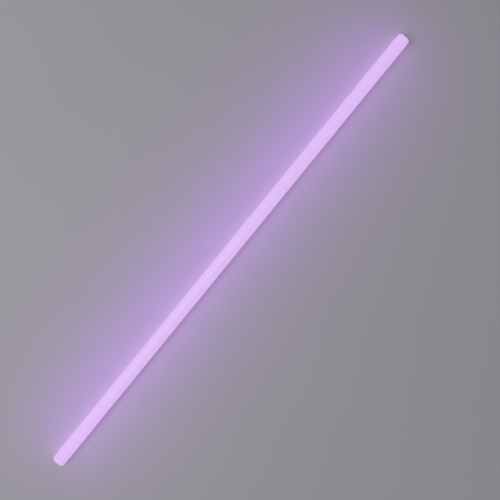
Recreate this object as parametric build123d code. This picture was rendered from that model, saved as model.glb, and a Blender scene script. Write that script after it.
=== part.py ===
from build123d import *
import os
from math import floor

# A straight T8 lamp of the 1200 mm class that glows all round.
# An opal tube holds an aluminium spine with a row of light-emitting diodes on its top and
# another on its bottom. The spine is hollow, and the driver that feeds both rows lies inside it.
# +X runs along the tube from the live end A to the dead end B, and +Z is up. The origin is on
# the axis, halfway between the faces of the two end caps. All sizes are in millimetres.

# Lamp
FACE_TO_FACE = 1198.0
TUBE_OUTSIDE = 28.0
TUBE_WALL = 1.0
CAP_RIM = 9.0

# Rails inside the tube, which the spine's fins slide between
RAIL_THICKNESS = 1.0
RAIL_SIDE_CLEARANCE = 0.15
RAIL_TIP_CLEARANCE = 0.5
RAIL_ROOT = 0.3
FIN_TIP_CLEARANCE = 0.3

# Spine
SPINE_WALL = 0.9
FIN_THICKNESS = 1.2
LIP_UPRIGHT = 0.9
LIP_THICKNESS = 0.6
LIP_REACH = 0.6
PORT_BORE = 2.0
PORT_WALL = 0.9
PORT_SINK = 0.3
PORT_SLIT = 1.0

# Boards with the light-emitting diodes
LED_BOARD_WIDTH = 10.0
LED_BOARD_THICKNESS = 1.0
LED_BOARD_CLEARANCE = 0.1
LED_BOARD_SETBACK = 2.0
TAPE_THICKNESS = 0.2
LED_LENGTH = 3.5
LED_WIDTH = 2.8
LED_HEIGHT = 0.8
LED_PITCH = 24.0
LED_END_MARGIN = 12.0

# End caps
CAP_EDGE_BEVEL = 2.0
CAP_END_WALL = 2.5
SPIGOT_LENGTH = 8.0
SPIGOT_WALL = 1.2
SPIGOT_CLEARANCE = 0.1
NOTCH_CLEARANCE = 0.2
PILLAR_WALL = 1.1

# Contact pins of the two-pin base
PIN_SPACING = 12.7
PIN_DIAMETER = 2.35
PIN_LENGTH = 7.1
PIN_TIP_CHAMFER = 0.3
PIN_SHANK_DIAMETER = 3.2
PIN_STUB_LENGTH = 1.0

# Strap that joins the two pins of the dead end
BRIDGE_WIDTH = 3.0
BRIDGE_THICKNESS = 0.5

# Screws that hold the caps to the spine
SCREW_HEAD_DIAMETER = 4.0
SCREW_HEAD_HEIGHT = 1.3
SCREW_RECESS_DEPTH = 1.6
SCREW_RECESS_CLEARANCE = 0.2
SCREW_HOLE_CLEARANCE = 0.15
SCREW_THREAD_CLEARANCE = 0.05
SCREW_ENGAGEMENT = 8.5
CROSS_WIDTH = 0.6
CROSS_LENGTH = 2.4
CROSS_DEPTH = 0.7

# Insulated leads
LEAD_DIAMETER = 1.3
LEAD_SIDES = 6
LEAD_HOLE_CLEARANCE = 0.35
INPUT_LEAD_OFFSET = 1.2
INPUT_LEAD_STRAIGHT = 2.4
INPUT_LEAD_BEND = 2.4
UPPER_LEAD_ENTRY = 2.5
LOWER_LEAD_ENTRY = 0.6
OUTPUT_LEAD_OFFSET = 2.5
OUTPUT_LEAD_BEND = 2.2
LINK_OFFSET = 2.5
LINK_STANDOFF = 3.2
LINK_BEND = 2.2
LINK_LANDING = 5.0

# Driver: board, insulating sleeve and where it lies
DRIVER_INSET = 9.0
DRIVER_BOARD_WIDTH = 11.2
DRIVER_BOARD_THICKNESS = 1.0
DRIVER_BOARD_CLEARANCE = 0.1
DRIVER_PAD_ZONE = 6.0
DRIVER_LEAD_RUN = 7.0
PART_GAP = 3.0
PART_HEADROOM = 0.7
SLEEVE_WALL = 0.3
SLEEVE_CLEARANCE = 0.1
SLEEVE_TOP_CLEARANCE = 0.2
SLEEVE_OVERHANG = 2.0
LEG_SIZE = 0.6
LEG_LENGTH = 0.9
LEG_HOLE_CLEARANCE = 0.05

# Parts on the driver board
FUSE_DIAMETER = 3.2
FUSE_LENGTH = 8.5
FUSE_LEG_RUN = 1.5
VARISTOR_DIAMETER = 6.2
VARISTOR_THICKNESS = 3.4
VARISTOR_LEG_SPACING = 3.8
FILM_CAP_LENGTH = 10.0
FILM_CAP_WIDTH = 5.0
FILM_CAP_HEIGHT = 6.4
FILM_CAP_LEG_SPACING = 7.5
CHOKE_LENGTH = 9.0
CHOKE_WIDTH = 8.4
CHOKE_HEIGHT = 2.4
CHOKE_LIFT = 1.5
CHOKE_SECTION = 2.0
CHOKE_COIL_LENGTH = 4.0
CHOKE_COIL_THICKNESS = 0.9
CHOKE_LEG_SPACING = 3.0
BRIDGE_BODY_LENGTH = 4.7
BRIDGE_BODY_WIDTH = 3.9
BRIDGE_BODY_HEIGHT = 1.5
BRIDGE_LEG_PITCH = 2.5
BRIDGE_LEG_COUNT = 2
BULK_CAP_DIAMETER = 6.8
BULK_CAP_LENGTH = 25.0
OUTPUT_CAP_DIAMETER = 6.3
OUTPUT_CAP_LENGTH = 16.0
CAN_LEG_SPACING = 2.5
CAN_LEG_RUN = 1.5
CHIP_LENGTH = 4.9
CHIP_WIDTH = 3.9
CHIP_HEIGHT = 1.4
CHIP_LEG_PITCH = 1.27
CHIP_LEG_COUNT = 4
GULL_WIDTH = 0.4
GULL_THICKNESS = 0.2
GULL_REACH = 1.0
GULL_FOOT = 0.6
CORE_LENGTH = 12.6
CORE_HEIGHT = 3.4
CORE_BACK = 1.8
CORE_OUTER_LEG = 1.6
CORE_CENTRE_LEG = 2.8
CORE_AIR_GAP = 0.1
BOBBIN_WALL = 0.5
BOBBIN_CLEARANCE = 0.1
WINDING_THICKNESS = 0.8
WINDING_SETBACK = 0.3
BOBBIN_LEG_SPACING = 4.6
DIODE_LENGTH = 4.3
DIODE_WIDTH = 2.6
DIODE_HEIGHT = 2.2
DIODE_TERMINAL = 0.5

# Tube and spine ends, where each cap's rim meets the tube
tube_length = FACE_TO_FACE - 2 * CAP_RIM
tube_end = tube_length / 2
outer_radius = TUBE_OUTSIDE / 2
inner_radius = outer_radius - TUBE_WALL

# Half widths and half heights of the transformer's bobbin tube, winding, flanges and core
bobbin_hole = CORE_CENTRE_LEG / 2 + BOBBIN_CLEARANCE, CORE_HEIGHT / 2 + BOBBIN_CLEARANCE
bobbin_tube = tuple(half + BOBBIN_WALL for half in bobbin_hole)
winding_size = tuple(half + WINDING_THICKNESS for half in bobbin_tube)
bobbin_flange = tuple(half + WINDING_SETBACK for half in winding_size)
core_half_width = bobbin_flange[0] + BOBBIN_CLEARANCE + CORE_OUTER_LEG
bobbin_height = 2 * bobbin_flange[1]

# Heights and widths of the driver's cavity follow from what lies in it
tallest_part = max(
    BULK_CAP_DIAMETER, OUTPUT_CAP_DIAMETER, VARISTOR_DIAMETER, FILM_CAP_HEIGHT, bobbin_height
)
sleeve_inner_height = LEG_LENGTH + DRIVER_BOARD_THICKNESS + tallest_part + PART_HEADROOM
sleeve_inner_width = DRIVER_BOARD_WIDTH + 2 * DRIVER_BOARD_CLEARANCE
sleeve_height = sleeve_inner_height + 2 * SLEEVE_WALL
sleeve_width = sleeve_inner_width + 2 * SLEEVE_WALL
cavity_height = sleeve_height + SLEEVE_TOP_CLEARANCE
cavity_width = sleeve_width + 2 * SLEEVE_CLEARANCE
spine_height = cavity_height + 2 * SPINE_WALL
spine_width = cavity_width + 2 * SPINE_WALL

# Screw ports and rails beside the spine
port_radius = PORT_BORE / 2 + PORT_WALL
port_y = spine_width / 2 + port_radius - PORT_SINK
fin_tip = inner_radius - FIN_TIP_CLEARANCE
rail_tip = port_y + port_radius + RAIL_TIP_CLEARANCE
rail_gap = FIN_THICKNESS + 2 * RAIL_SIDE_CLEARANCE

# Diode boards, measured out from the axis
tape_z = spine_height / 2
led_board_z = tape_z + TAPE_THICKNESS
led_face_z = led_board_z + LED_BOARD_THICKNESS
led_board_length = tube_length - 2 * LED_BOARD_SETBACK
lip_inside_z = led_face_z + LED_BOARD_CLEARANCE
lip_outside_y = LED_BOARD_WIDTH / 2 + LED_BOARD_CLEARANCE + LIP_UPRIGHT
lip_inside_y = LED_BOARD_WIDTH / 2 - LIP_REACH
leds_each_side = floor((led_board_length / 2 - LED_END_MARGIN) / LED_PITCH + 0.5)

# Levels inside the driver's sleeve
sleeve_floor_z = -cavity_height / 2 + SLEEVE_WALL
driver_board_z = sleeve_floor_z + LEG_LENGTH
driver_face_z = driver_board_z + DRIVER_BOARD_THICKNESS

# Parts of the driver in their order from the live end, each with its length along the board
driver_layout = {
    "fuse_resistor": FUSE_LENGTH + 2 * FUSE_LEG_RUN,
    "varistor": VARISTOR_THICKNESS,
    "film_capacitor": FILM_CAP_LENGTH,
    "input_choke": CHOKE_LENGTH,
    "bridge_rectifier": BRIDGE_BODY_LENGTH,
    "bulk_capacitor": BULK_CAP_LENGTH + CAN_LEG_RUN,
    "controller_chip": CHIP_LENGTH,
    "transformer": CORE_LENGTH,
    "output_diode": DIODE_LENGTH + 2 * DIODE_TERMINAL,
    "output_capacitor": OUTPUT_CAP_LENGTH + CAN_LEG_RUN,
}
driver_length = sum(driver_layout.values()) + PART_GAP * (len(driver_layout) - 1) + 2 * DRIVER_PAD_ZONE

# The output leads pass through the spine midway between two diodes, just past the driver
feed_reach = tube_end - DRIVER_INSET - driver_length - DRIVER_LEAD_RUN
feed_x = -LED_PITCH * floor(feed_reach / LED_PITCH)
driver_end = feed_x - DRIVER_LEAD_RUN
driver_start = driver_end - driver_length
lead_radius = LEAD_DIAMETER / 2
lead_window = lead_radius + LEAD_HOLE_CLEARANCE
lead_on_driver_z = driver_face_z + lead_radius

# End cap, whose own frame has x = 0 where its rim meets the tube and +X out of the lamp
spigot_radius = inner_radius - SPIGOT_CLEARANCE
cap_bore_radius = spigot_radius - SPIGOT_WALL
cap_cavity_depth = CAP_RIM - CAP_END_WALL
screw_hole = PORT_BORE / 2 + SCREW_HOLE_CLEARANCE
pillar_radius = screw_hole + PILLAR_WALL
pin_inner_end = cap_cavity_depth - PIN_STUB_LENGTH


def block(x_from, x_to, y_from, y_to, z_from, z_to):
    """A rectangular solid between two opposite corners."""
    size = (x_to - x_from, y_to - y_from, z_to - z_from)
    return Pos(x_from, y_from, z_from) * Box(*size, align=(Align.MIN, Align.MIN, Align.MIN))


def along_tube(section, length, start):
    """A section drawn in (y, z), carried along +X for a length from a start."""
    return extrude(Plane.YZ.offset(start) * section, length)


def at_ends(shape):
    """A shape drawn in the cap's own frame, placed at end A and at end B."""
    return Pos(-tube_end, 0, 0) * Rot(0, 0, 180) * shape, Pos(tube_end, 0, 0) * shape


def along_x(radius, x_from, x_to):
    """A cylinder about X between two places."""
    rod = Cylinder(radius, x_to - x_from, align=(Align.CENTER, Align.CENTER, Align.MIN))
    return Pos(x_from, 0, 0) * Rot(0, 90, 0) * rod


def wire(points, bend):
    """A lead along straight runs that tangent arcs join, with flats inside its round section."""
    path = FilletPolyline(*points, radius=bend)
    section = RegularPolygon(lead_radius, LEAD_SIDES)
    return sweep(Plane(path @ 0, z_dir=path % 0) * section, path=path)


def group(solids):
    """Separate solids that share one node."""
    return Compound([solid for shape in solids for solid in shape.solids()])


# Tube and spine


def diffuser_tube():
    """The opal tube, extruded with two pairs of rails on its inside."""
    section = Circle(outer_radius) - Circle(inner_radius)
    depth = inner_radius + RAIL_ROOT - rail_tip
    for side in (-1, 1):
        for level in (-1, 1):
            centre_y = side * (rail_tip + depth / 2)
            centre_z = level * (rail_gap + RAIL_THICKNESS) / 2
            section += Pos(centre_y, centre_z) * Rectangle(depth, RAIL_THICKNESS)
    return along_tube(section, tube_length, -tube_end)


def spine():
    """The hollow extrusion: driver cavity, board channels, fins and screw ports."""
    section = Rectangle(spine_width, spine_height)
    lip_height = lip_inside_z + LIP_THICKNESS - tape_z
    for side in (-1, 1):
        section += Pos(side * fin_tip / 2, 0) * Rectangle(fin_tip, FIN_THICKNESS)
        section += Pos(side * port_y, 0) * Circle(port_radius)
        for level in (-1, 1):
            upright_y = side * (lip_outside_y - LIP_UPRIGHT / 2)
            upright_z = level * (tape_z + lip_height / 2)
            section += Pos(upright_y, upright_z) * Rectangle(LIP_UPRIGHT, lip_height)
            lip_y = side * (lip_outside_y + lip_inside_y) / 2
            lip_z = level * (lip_inside_z + LIP_THICKNESS / 2)
            section += Pos(lip_y, lip_z) * Rectangle(lip_outside_y - lip_inside_y, LIP_THICKNESS)
    section -= Rectangle(cavity_width, cavity_height)
    for side in (-1, 1):
        section -= Pos(side * port_y, 0) * Circle(PORT_BORE / 2)
        section -= Pos(side * port_y, port_radius / 2) * Rectangle(PORT_SLIT, port_radius)
    body = along_tube(section, tube_length, -tube_end)
    return body - feed_window(1, cavity_height / 2, tape_z) - feed_window(-1, cavity_height / 2, tape_z)


def feed_window(level, z_from, z_to):
    """What a lead's window removes from a wall above (1) or below (-1) the cavity."""
    y = level * OUTPUT_LEAD_OFFSET
    levels = sorted((level * z_from, level * z_to))
    return block(feed_x - lead_window, feed_x + lead_window, y - lead_window, y + lead_window, *levels)


def strip(level, z_from, z_to):
    """A flat strip on the spine's top (1) or bottom (-1), with the lead's window."""
    half_length, half_width = led_board_length / 2, LED_BOARD_WIDTH / 2
    levels = sorted((level * z_from, level * z_to))
    plate = block(-half_length, half_length, -half_width, half_width, *levels)
    return plate - feed_window(level, z_from, z_to)


def led_row(level):
    """The diodes of one board: flat packages at an even pitch."""
    half_length, half_width = LED_LENGTH / 2, LED_WIDTH / 2
    levels = sorted((level * led_face_z, level * (led_face_z + LED_HEIGHT)))
    middles = [(n + 0.5) * LED_PITCH for n in range(-leds_each_side, leds_each_side)]
    return group(block(x - half_length, x + half_length, -half_width, half_width, *levels) for x in middles)


# Ends of the lamp


def end_cap():
    """A moulded cap in its own frame: bevelled rim, spigot, screw blocks and pin holes."""
    outline = [
        (-SPIGOT_LENGTH, cap_bore_radius),
        (-SPIGOT_LENGTH, spigot_radius),
        (0, spigot_radius),
        (0, outer_radius),
        (CAP_RIM - CAP_EDGE_BEVEL, outer_radius),
        (CAP_RIM, outer_radius - CAP_EDGE_BEVEL),
        (CAP_RIM, 0),
        (cap_cavity_depth, 0),
        (cap_cavity_depth, cap_bore_radius),
    ]
    cap = revolve(make_face(Polyline(*outline, close=True)), Axis.X)
    recess_radius = SCREW_HEAD_DIAMETER / 2 + SCREW_RECESS_CLEARANCE
    notch = rail_gap / 2 + RAIL_THICKNESS + NOTCH_CLEARANCE
    for side in (-1, 1):
        reach = sorted((side * (rail_tip - RAIL_TIP_CLEARANCE), side * outer_radius))
        cap -= block(-SPIGOT_LENGTH, 0, *reach, -notch, notch)
        width = sorted((side * (port_y - pillar_radius), side * cap_bore_radius))
        cap += block(0, cap_cavity_depth, *width, -pillar_radius, pillar_radius)
        cap -= Pos(0, side * port_y, 0) * along_x(screw_hole, 0, CAP_RIM)
        cap -= Pos(0, side * port_y, 0) * along_x(recess_radius, CAP_RIM - SCREW_RECESS_DEPTH, CAP_RIM)
    for level in (-1, 1):
        cap -= Pos(0, 0, level * PIN_SPACING / 2) * along_x(PIN_SHANK_DIAMETER / 2, 0, CAP_RIM)
    return cap


def contact_pin():
    """A brass pin on the cap's axis: a free pin with a bevelled tip, and a shank in the wall."""
    pin_r, shank_r, tip = PIN_DIAMETER / 2, PIN_SHANK_DIAMETER / 2, CAP_RIM + PIN_LENGTH
    outline = [
        (pin_inner_end, 0),
        (pin_inner_end, shank_r),
        (CAP_RIM, shank_r),
        (CAP_RIM, pin_r),
        (tip - PIN_TIP_CHAMFER, pin_r),
        (tip, pin_r - PIN_TIP_CHAMFER),
        (tip, 0),
    ]
    return revolve(make_face(Polyline(*outline, close=True)), Axis.X)


def pin_bridge():
    """The strap that is soldered to the inner ends of the dead end's pins, in the cap's frame."""
    outline = Rectangle(BRIDGE_WIDTH, PIN_SPACING + BRIDGE_WIDTH)
    return along_tube(outline, BRIDGE_THICKNESS, pin_inner_end - BRIDGE_THICKNESS)


def cap_screw():
    """A self-tapping screw in the cap's frame, its shank as thick as the port's bore lets in."""
    head_x = CAP_RIM - SCREW_RECESS_DEPTH
    top_x = head_x + SCREW_HEAD_HEIGHT
    screw = along_x(PORT_BORE / 2 - SCREW_THREAD_CLEARANCE, -SCREW_ENGAGEMENT, head_x)
    screw += along_x(SCREW_HEAD_DIAMETER / 2, head_x, top_x)
    half_width, half_length = CROSS_WIDTH / 2, CROSS_LENGTH / 2
    screw -= block(top_x - CROSS_DEPTH, top_x, -half_width, half_width, -half_length, half_length)
    return screw - block(top_x - CROSS_DEPTH, top_x, -half_length, half_length, -half_width, half_width)


# Driver parts, each at its place on the board


def leg_foot(x, y, top_z=driver_face_z):
    """A square leg that goes through the board and stands on the sleeve's floor."""
    half = LEG_SIZE / 2
    leg_holes.append((x, y))
    return block(x - half, x + half, y - half, y + half, sleeve_floor_z, top_z)


def fuse_resistor(x):
    """A wound fuse resistor that lies along the board, with a leg at each end."""
    radius = FUSE_DIAMETER / 2
    start, end = x + FUSE_LEG_RUN, x + FUSE_LEG_RUN + FUSE_LENGTH
    body = along_x(radius, start, end)
    axis_z = driver_face_z + radius
    half = LEG_SIZE / 2
    left, right = x + half, end + FUSE_LEG_RUN - half
    body = Pos(0, 0, axis_z) * body
    body += block(left - half, right + half, -half, half, axis_z - half, axis_z + half)
    return body + leg_foot(left, 0, axis_z) + leg_foot(right, 0, axis_z)


def varistor(x):
    """A coated disc that stands across the board."""
    centre_z = driver_face_z + VARISTOR_DIAMETER / 2
    middle = x + VARISTOR_THICKNESS / 2
    disc = Pos(0, 0, centre_z) * along_x(VARISTOR_DIAMETER / 2, x, x + VARISTOR_THICKNESS)
    for side in (-1, 1):
        disc += leg_foot(middle, side * VARISTOR_LEG_SPACING / 2, centre_z)
    return disc


def film_capacitor(x):
    """A box capacitor across the mains input."""
    half_width, middle = FILM_CAP_WIDTH / 2, x + FILM_CAP_LENGTH / 2
    top_z = driver_face_z + FILM_CAP_HEIGHT
    body = block(x, x + FILM_CAP_LENGTH, -half_width, half_width, driver_face_z, top_z)
    for side in (-1, 1):
        body += leg_foot(middle + side * FILM_CAP_LEG_SPACING / 2, 0)
    return body


def choke_core(x):
    """The ferrite ring of the input choke, a flat rectangular frame that its two coils carry."""
    half_width, inner = CHOKE_WIDTH / 2, CHOKE_WIDTH / 2 - CHOKE_SECTION
    levels = driver_face_z + CHOKE_LIFT, driver_face_z + CHOKE_LIFT + CHOKE_HEIGHT
    ring = block(x, x + CHOKE_LENGTH, -half_width, half_width, *levels)
    return ring - block(x + CHOKE_SECTION, x + CHOKE_LENGTH - CHOKE_SECTION, -inner, inner, *levels)


def choke_coil(x, side):
    """The coil on one long side of the choke's ring, with a leg at each end."""
    middle_x, middle_y = x + CHOKE_LENGTH / 2, side * (CHOKE_WIDTH - CHOKE_SECTION) / 2
    start, end = middle_x - CHOKE_COIL_LENGTH / 2, middle_x + CHOKE_COIL_LENGTH / 2
    low, high = driver_face_z + CHOKE_LIFT, driver_face_z + CHOKE_LIFT + CHOKE_HEIGHT
    half, wrap = CHOKE_SECTION / 2, CHOKE_SECTION / 2 + CHOKE_COIL_THICKNESS
    levels = low - CHOKE_COIL_THICKNESS, high + CHOKE_COIL_THICKNESS
    coil = block(start, end, middle_y - wrap, middle_y + wrap, *levels)
    coil -= block(start, end, middle_y - half, middle_y + half, low, high)
    for place in (-1, 1):
        coil += leg_foot(middle_x + place * CHOKE_LEG_SPACING / 2, middle_y, low - CHOKE_COIL_THICKNESS / 2)
    return coil


def gull_leg(x, side, body_half_width, body_height):
    """One bent lead of a flat package, from half way up its side down to the board."""
    start = body_half_width
    knee, toe = start + GULL_REACH - GULL_FOOT, start + GULL_REACH
    level = body_height / 2
    outline = Polyline(
        (start, level + GULL_THICKNESS / 2),
        (knee + GULL_THICKNESS / 2, level + GULL_THICKNESS / 2),
        (knee + GULL_THICKNESS / 2, GULL_THICKNESS),
        (toe, GULL_THICKNESS),
        (toe, 0),
        (knee - GULL_THICKNESS / 2, 0),
        (knee - GULL_THICKNESS / 2, level - GULL_THICKNESS / 2),
        (start, level - GULL_THICKNESS / 2),
        close=True,
    )
    leg = extrude(Plane.YZ.offset(-GULL_WIDTH / 2) * make_face(outline), GULL_WIDTH)
    return Pos(x, 0, driver_face_z) * (Rot(0, 0, 180) * leg if side < 0 else leg)


def flat_package(x, length, width, height, pitch, count):
    """A moulded flat package with a row of bent leads on each side."""
    half_width, middle = width / 2, x + length / 2
    levels = driver_face_z + GULL_THICKNESS, driver_face_z + height
    body = block(x, x + length, -half_width, half_width, *levels)
    for n in range(count):
        place = middle + (n - (count - 1) / 2) * pitch
        for side in (-1, 1):
            body += gull_leg(place, side, half_width, height)
    return body


def can_capacitor(x, diameter, length):
    """An electrolytic capacitor that lies along the board, legs towards the live end."""
    radius, bung, end = diameter / 2, x + CAN_LEG_RUN, x + CAN_LEG_RUN + length
    can = along_x(radius, bung, end)
    axis_z = driver_face_z + radius
    can = Pos(0, 0, axis_z) * can
    half = LEG_SIZE / 2
    for side in (-1, 1):
        y = side * CAN_LEG_SPACING / 2
        can += block(x, bung, y - half, y + half, axis_z - half, axis_z + half)
        can += leg_foot(x + half, y, axis_z)
    return can


def core_half(x, facing):
    """One E-shaped half of the transformer's core; facing is 1 for the half nearer end A."""
    back = x if facing > 0 else x + CORE_LENGTH
    inner_back = back + facing * CORE_BACK
    split = x + CORE_LENGTH / 2 - facing * CORE_AIR_GAP / 2
    middle_z = driver_face_z + bobbin_height / 2
    levels = middle_z - CORE_HEIGHT / 2, middle_z + CORE_HEIGHT / 2
    half = block(*sorted((back, inner_back)), -core_half_width, core_half_width, *levels)
    reach = sorted((inner_back, split))
    half += block(*reach, -CORE_CENTRE_LEG / 2, CORE_CENTRE_LEG / 2, *levels)
    half += block(*reach, core_half_width - CORE_OUTER_LEG, core_half_width, *levels)
    return half + block(*reach, -core_half_width, CORE_OUTER_LEG - core_half_width, *levels)


def around_core(x_from, x_to, half_sizes):
    """A block about the transformer's middle, with a half width and a half height."""
    half_y, half_z = half_sizes
    middle_z = driver_face_z + bobbin_height / 2
    return block(x_from, x_to, -half_y, half_y, middle_z - half_z, middle_z + half_z)


def transformer_bobbin(x):
    """The bobbin: a square tube with a flange at each end, on four legs."""
    start, end = x + CORE_BACK + BOBBIN_CLEARANCE, x + CORE_LENGTH - CORE_BACK - BOBBIN_CLEARANCE
    bobbin = around_core(start, end, bobbin_tube)
    bobbin += around_core(start, start + BOBBIN_WALL, bobbin_flange)
    bobbin += around_core(end - BOBBIN_WALL, end, bobbin_flange)
    bobbin -= around_core(start, end, bobbin_hole)
    for place in (start + LEG_SIZE / 2, end - LEG_SIZE / 2):
        for side in (-1, 1):
            bobbin += leg_foot(place, side * BOBBIN_LEG_SPACING / 2)
    return bobbin


def transformer_winding(x):
    """Copper and tape between the bobbin's flanges, as one ring."""
    setback = CORE_BACK + BOBBIN_CLEARANCE + BOBBIN_WALL
    start, end = x + setback, x + CORE_LENGTH - setback
    return around_core(start, end, winding_size) - around_core(start, end, bobbin_tube)


def output_diode(x):
    """A moulded diode with a folded terminal at each end."""
    half_width = DIODE_WIDTH / 2
    start, end = x + DIODE_TERMINAL, x + DIODE_TERMINAL + DIODE_LENGTH
    top_z = driver_face_z + DIODE_HEIGHT
    body = block(start, end, -half_width, half_width, driver_face_z, top_z)
    terminal_z = driver_face_z + DIODE_HEIGHT / 2
    return body + block(x, end + DIODE_TERMINAL, -half_width / 2, half_width / 2, driver_face_z, terminal_z)


def driver_board():
    """The driver's board with a square hole for each leg."""
    half_width, half_hole = DRIVER_BOARD_WIDTH / 2, LEG_SIZE / 2 + LEG_HOLE_CLEARANCE
    board = block(driver_start, driver_end, -half_width, half_width, driver_board_z, driver_face_z)
    for x, y in leg_holes:
        hole = x - half_hole, x + half_hole, y - half_hole, y + half_hole
        board -= block(*hole, driver_board_z, driver_face_z)
    return board


def driver_sleeve():
    """The sleeve of folded insulating film that the driver slides in."""
    section = Rectangle(sleeve_width, sleeve_height) - Rectangle(sleeve_inner_width, sleeve_inner_height)
    middle_z = sleeve_floor_z + sleeve_inner_height / 2
    length = driver_length + 2 * SLEEVE_OVERHANG
    return Pos(0, 0, middle_z) * along_tube(section, length, driver_start - SLEEVE_OVERHANG)


# Leads


def input_lead(level):
    """A lead from the upper (1) or lower (-1) live pin into the spine and onto the driver board."""
    pin_x, pin_z = -tube_end - pin_inner_end, level * PIN_SPACING / 2
    y = level * INPUT_LEAD_OFFSET
    entry_x = -tube_end + (UPPER_LEAD_ENTRY if level > 0 else LOWER_LEAD_ENTRY)
    return wire(
        [
            (pin_x, 0, pin_z),
            (pin_x + INPUT_LEAD_STRAIGHT, 0, pin_z),
            (entry_x, y, lead_on_driver_z),
            (driver_start + DRIVER_PAD_ZONE / 2, y, lead_on_driver_z),
        ],
        INPUT_LEAD_BEND,
    )


def output_lead(level):
    """A lead from the driver's end through the spine to the top (1) or bottom (-1) board."""
    y = level * OUTPUT_LEAD_OFFSET
    return wire(
        [
            (driver_end - DRIVER_PAD_ZONE / 2, y, lead_on_driver_z),
            (feed_x, y, lead_on_driver_z),
            (feed_x, y, level * led_face_z),
        ],
        OUTPUT_LEAD_BEND,
    )


def board_link():
    """The lead at the dead end that joins the two diode boards in series."""
    board_end, turn_x = led_board_length / 2, tube_end + LINK_STANDOFF
    z = led_face_z + lead_radius
    return wire(
        [
            (board_end - LINK_LANDING, LINK_OFFSET, z),
            (turn_x, LINK_OFFSET, z),
            (turn_x, LINK_OFFSET, -z),
            (board_end - LINK_LANDING, LINK_OFFSET, -z),
        ],
        LINK_BEND,
    )


leg_holes = []
places, cursor = {}, driver_start + DRIVER_PAD_ZONE
for name, length in driver_layout.items():
    places[name] = cursor
    cursor += length + PART_GAP

cap_a, cap_b = at_ends(end_cap())
pins = {level: at_ends(Pos(0, 0, level * PIN_SPACING / 2) * contact_pin()) for level in (-1, 1)}
screws = [screw for side in (-1, 1) for screw in at_ends(Pos(0, side * port_y, 0) * cap_screw())]

nodes = {
    "diffuser_tube": diffuser_tube(),
    "spine": spine(),
    "thermal_tape_top": strip(1, tape_z, led_board_z),
    "thermal_tape_bottom": strip(-1, tape_z, led_board_z),
    "led_board_top": strip(1, led_board_z, led_face_z),
    "led_board_bottom": strip(-1, led_board_z, led_face_z),
    "leds_top": led_row(1),
    "leds_bottom": led_row(-1),
    "end_cap_a": cap_a,
    "end_cap_b": cap_b,
    "pin_a_upper": pins[1][0],
    "pin_a_lower": pins[-1][0],
    "pin_b_upper": pins[1][1],
    "pin_b_lower": pins[-1][1],
    "pin_bridge": at_ends(pin_bridge())[1],
    "cap_screws": group(screws),
    "fuse_resistor": fuse_resistor(places["fuse_resistor"]),
    "varistor": varistor(places["varistor"]),
    "film_capacitor": film_capacitor(places["film_capacitor"]),
    "choke_core": choke_core(places["input_choke"]),
    "choke_coil_left": choke_coil(places["input_choke"], 1),
    "choke_coil_right": choke_coil(places["input_choke"], -1),
    "bridge_rectifier": flat_package(
        places["bridge_rectifier"],
        BRIDGE_BODY_LENGTH,
        BRIDGE_BODY_WIDTH,
        BRIDGE_BODY_HEIGHT,
        BRIDGE_LEG_PITCH,
        BRIDGE_LEG_COUNT,
    ),
    "bulk_capacitor": can_capacitor(places["bulk_capacitor"], BULK_CAP_DIAMETER, BULK_CAP_LENGTH),
    "controller_chip": flat_package(
        places["controller_chip"], CHIP_LENGTH, CHIP_WIDTH, CHIP_HEIGHT, CHIP_LEG_PITCH, CHIP_LEG_COUNT
    ),
    "transformer_core_front": core_half(places["transformer"], 1),
    "transformer_core_rear": core_half(places["transformer"], -1),
    "transformer_bobbin": transformer_bobbin(places["transformer"]),
    "transformer_winding": transformer_winding(places["transformer"]),
    "output_diode": output_diode(places["output_diode"]),
    "output_capacitor": can_capacitor(places["output_capacitor"], OUTPUT_CAP_DIAMETER, OUTPUT_CAP_LENGTH),
    "driver_board": driver_board(),
    "driver_sleeve": driver_sleeve(),
    "input_lead_upper": input_lead(1),
    "input_lead_lower": input_lead(-1),
    "output_lead_top": output_lead(1),
    "output_lead_bottom": output_lead(-1),
    "board_link": board_link(),
}

os.makedirs("parts", exist_ok=True)
for name, shape in nodes.items():
    export_step(shape, f"parts/{name}.step")
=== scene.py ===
"""Looks of a straight lamp that glows all round: an opal tube with a cap and two pins at each end.

Lengths are in metres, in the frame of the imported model. +X runs along the lamp from its live end A to its
dead end B, +Z is up, and the lamp lies on a pale floor. Shapes are numpy surfaces: a grid of points that
follows two parameters, or a profile carried round an axis or along a path.
"""

from __future__ import annotations

import logging
from collections.abc import Callable, Iterable, Sequence
from dataclasses import dataclass
from enum import Enum
from math import cos, pi, radians, sin, tau

import bmesh
import bpy
import numpy as np
from bpy.types import Material, Mesh, Node, NodeSocket, Object
from mathutils import Matrix, Vector


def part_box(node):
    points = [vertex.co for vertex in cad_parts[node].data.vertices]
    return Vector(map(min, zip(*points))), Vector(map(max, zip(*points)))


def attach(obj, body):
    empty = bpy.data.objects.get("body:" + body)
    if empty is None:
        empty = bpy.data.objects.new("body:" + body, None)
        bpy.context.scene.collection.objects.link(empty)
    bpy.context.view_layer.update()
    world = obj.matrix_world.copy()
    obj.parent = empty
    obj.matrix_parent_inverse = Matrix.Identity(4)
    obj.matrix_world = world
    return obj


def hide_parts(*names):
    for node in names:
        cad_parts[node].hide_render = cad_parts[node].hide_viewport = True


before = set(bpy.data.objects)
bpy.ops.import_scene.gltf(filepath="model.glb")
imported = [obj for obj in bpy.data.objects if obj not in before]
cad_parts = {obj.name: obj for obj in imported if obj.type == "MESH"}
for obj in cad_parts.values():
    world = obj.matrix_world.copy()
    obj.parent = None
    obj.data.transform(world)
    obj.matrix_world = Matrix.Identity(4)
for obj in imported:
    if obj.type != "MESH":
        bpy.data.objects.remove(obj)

BODY = "root"
MM = 0.001
MERGE_DISTANCE = 2e-6
STRAIGHT = 1e-6
SHARP_ANGLE = radians(38)
PHOTO_SIDE = 500
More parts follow.
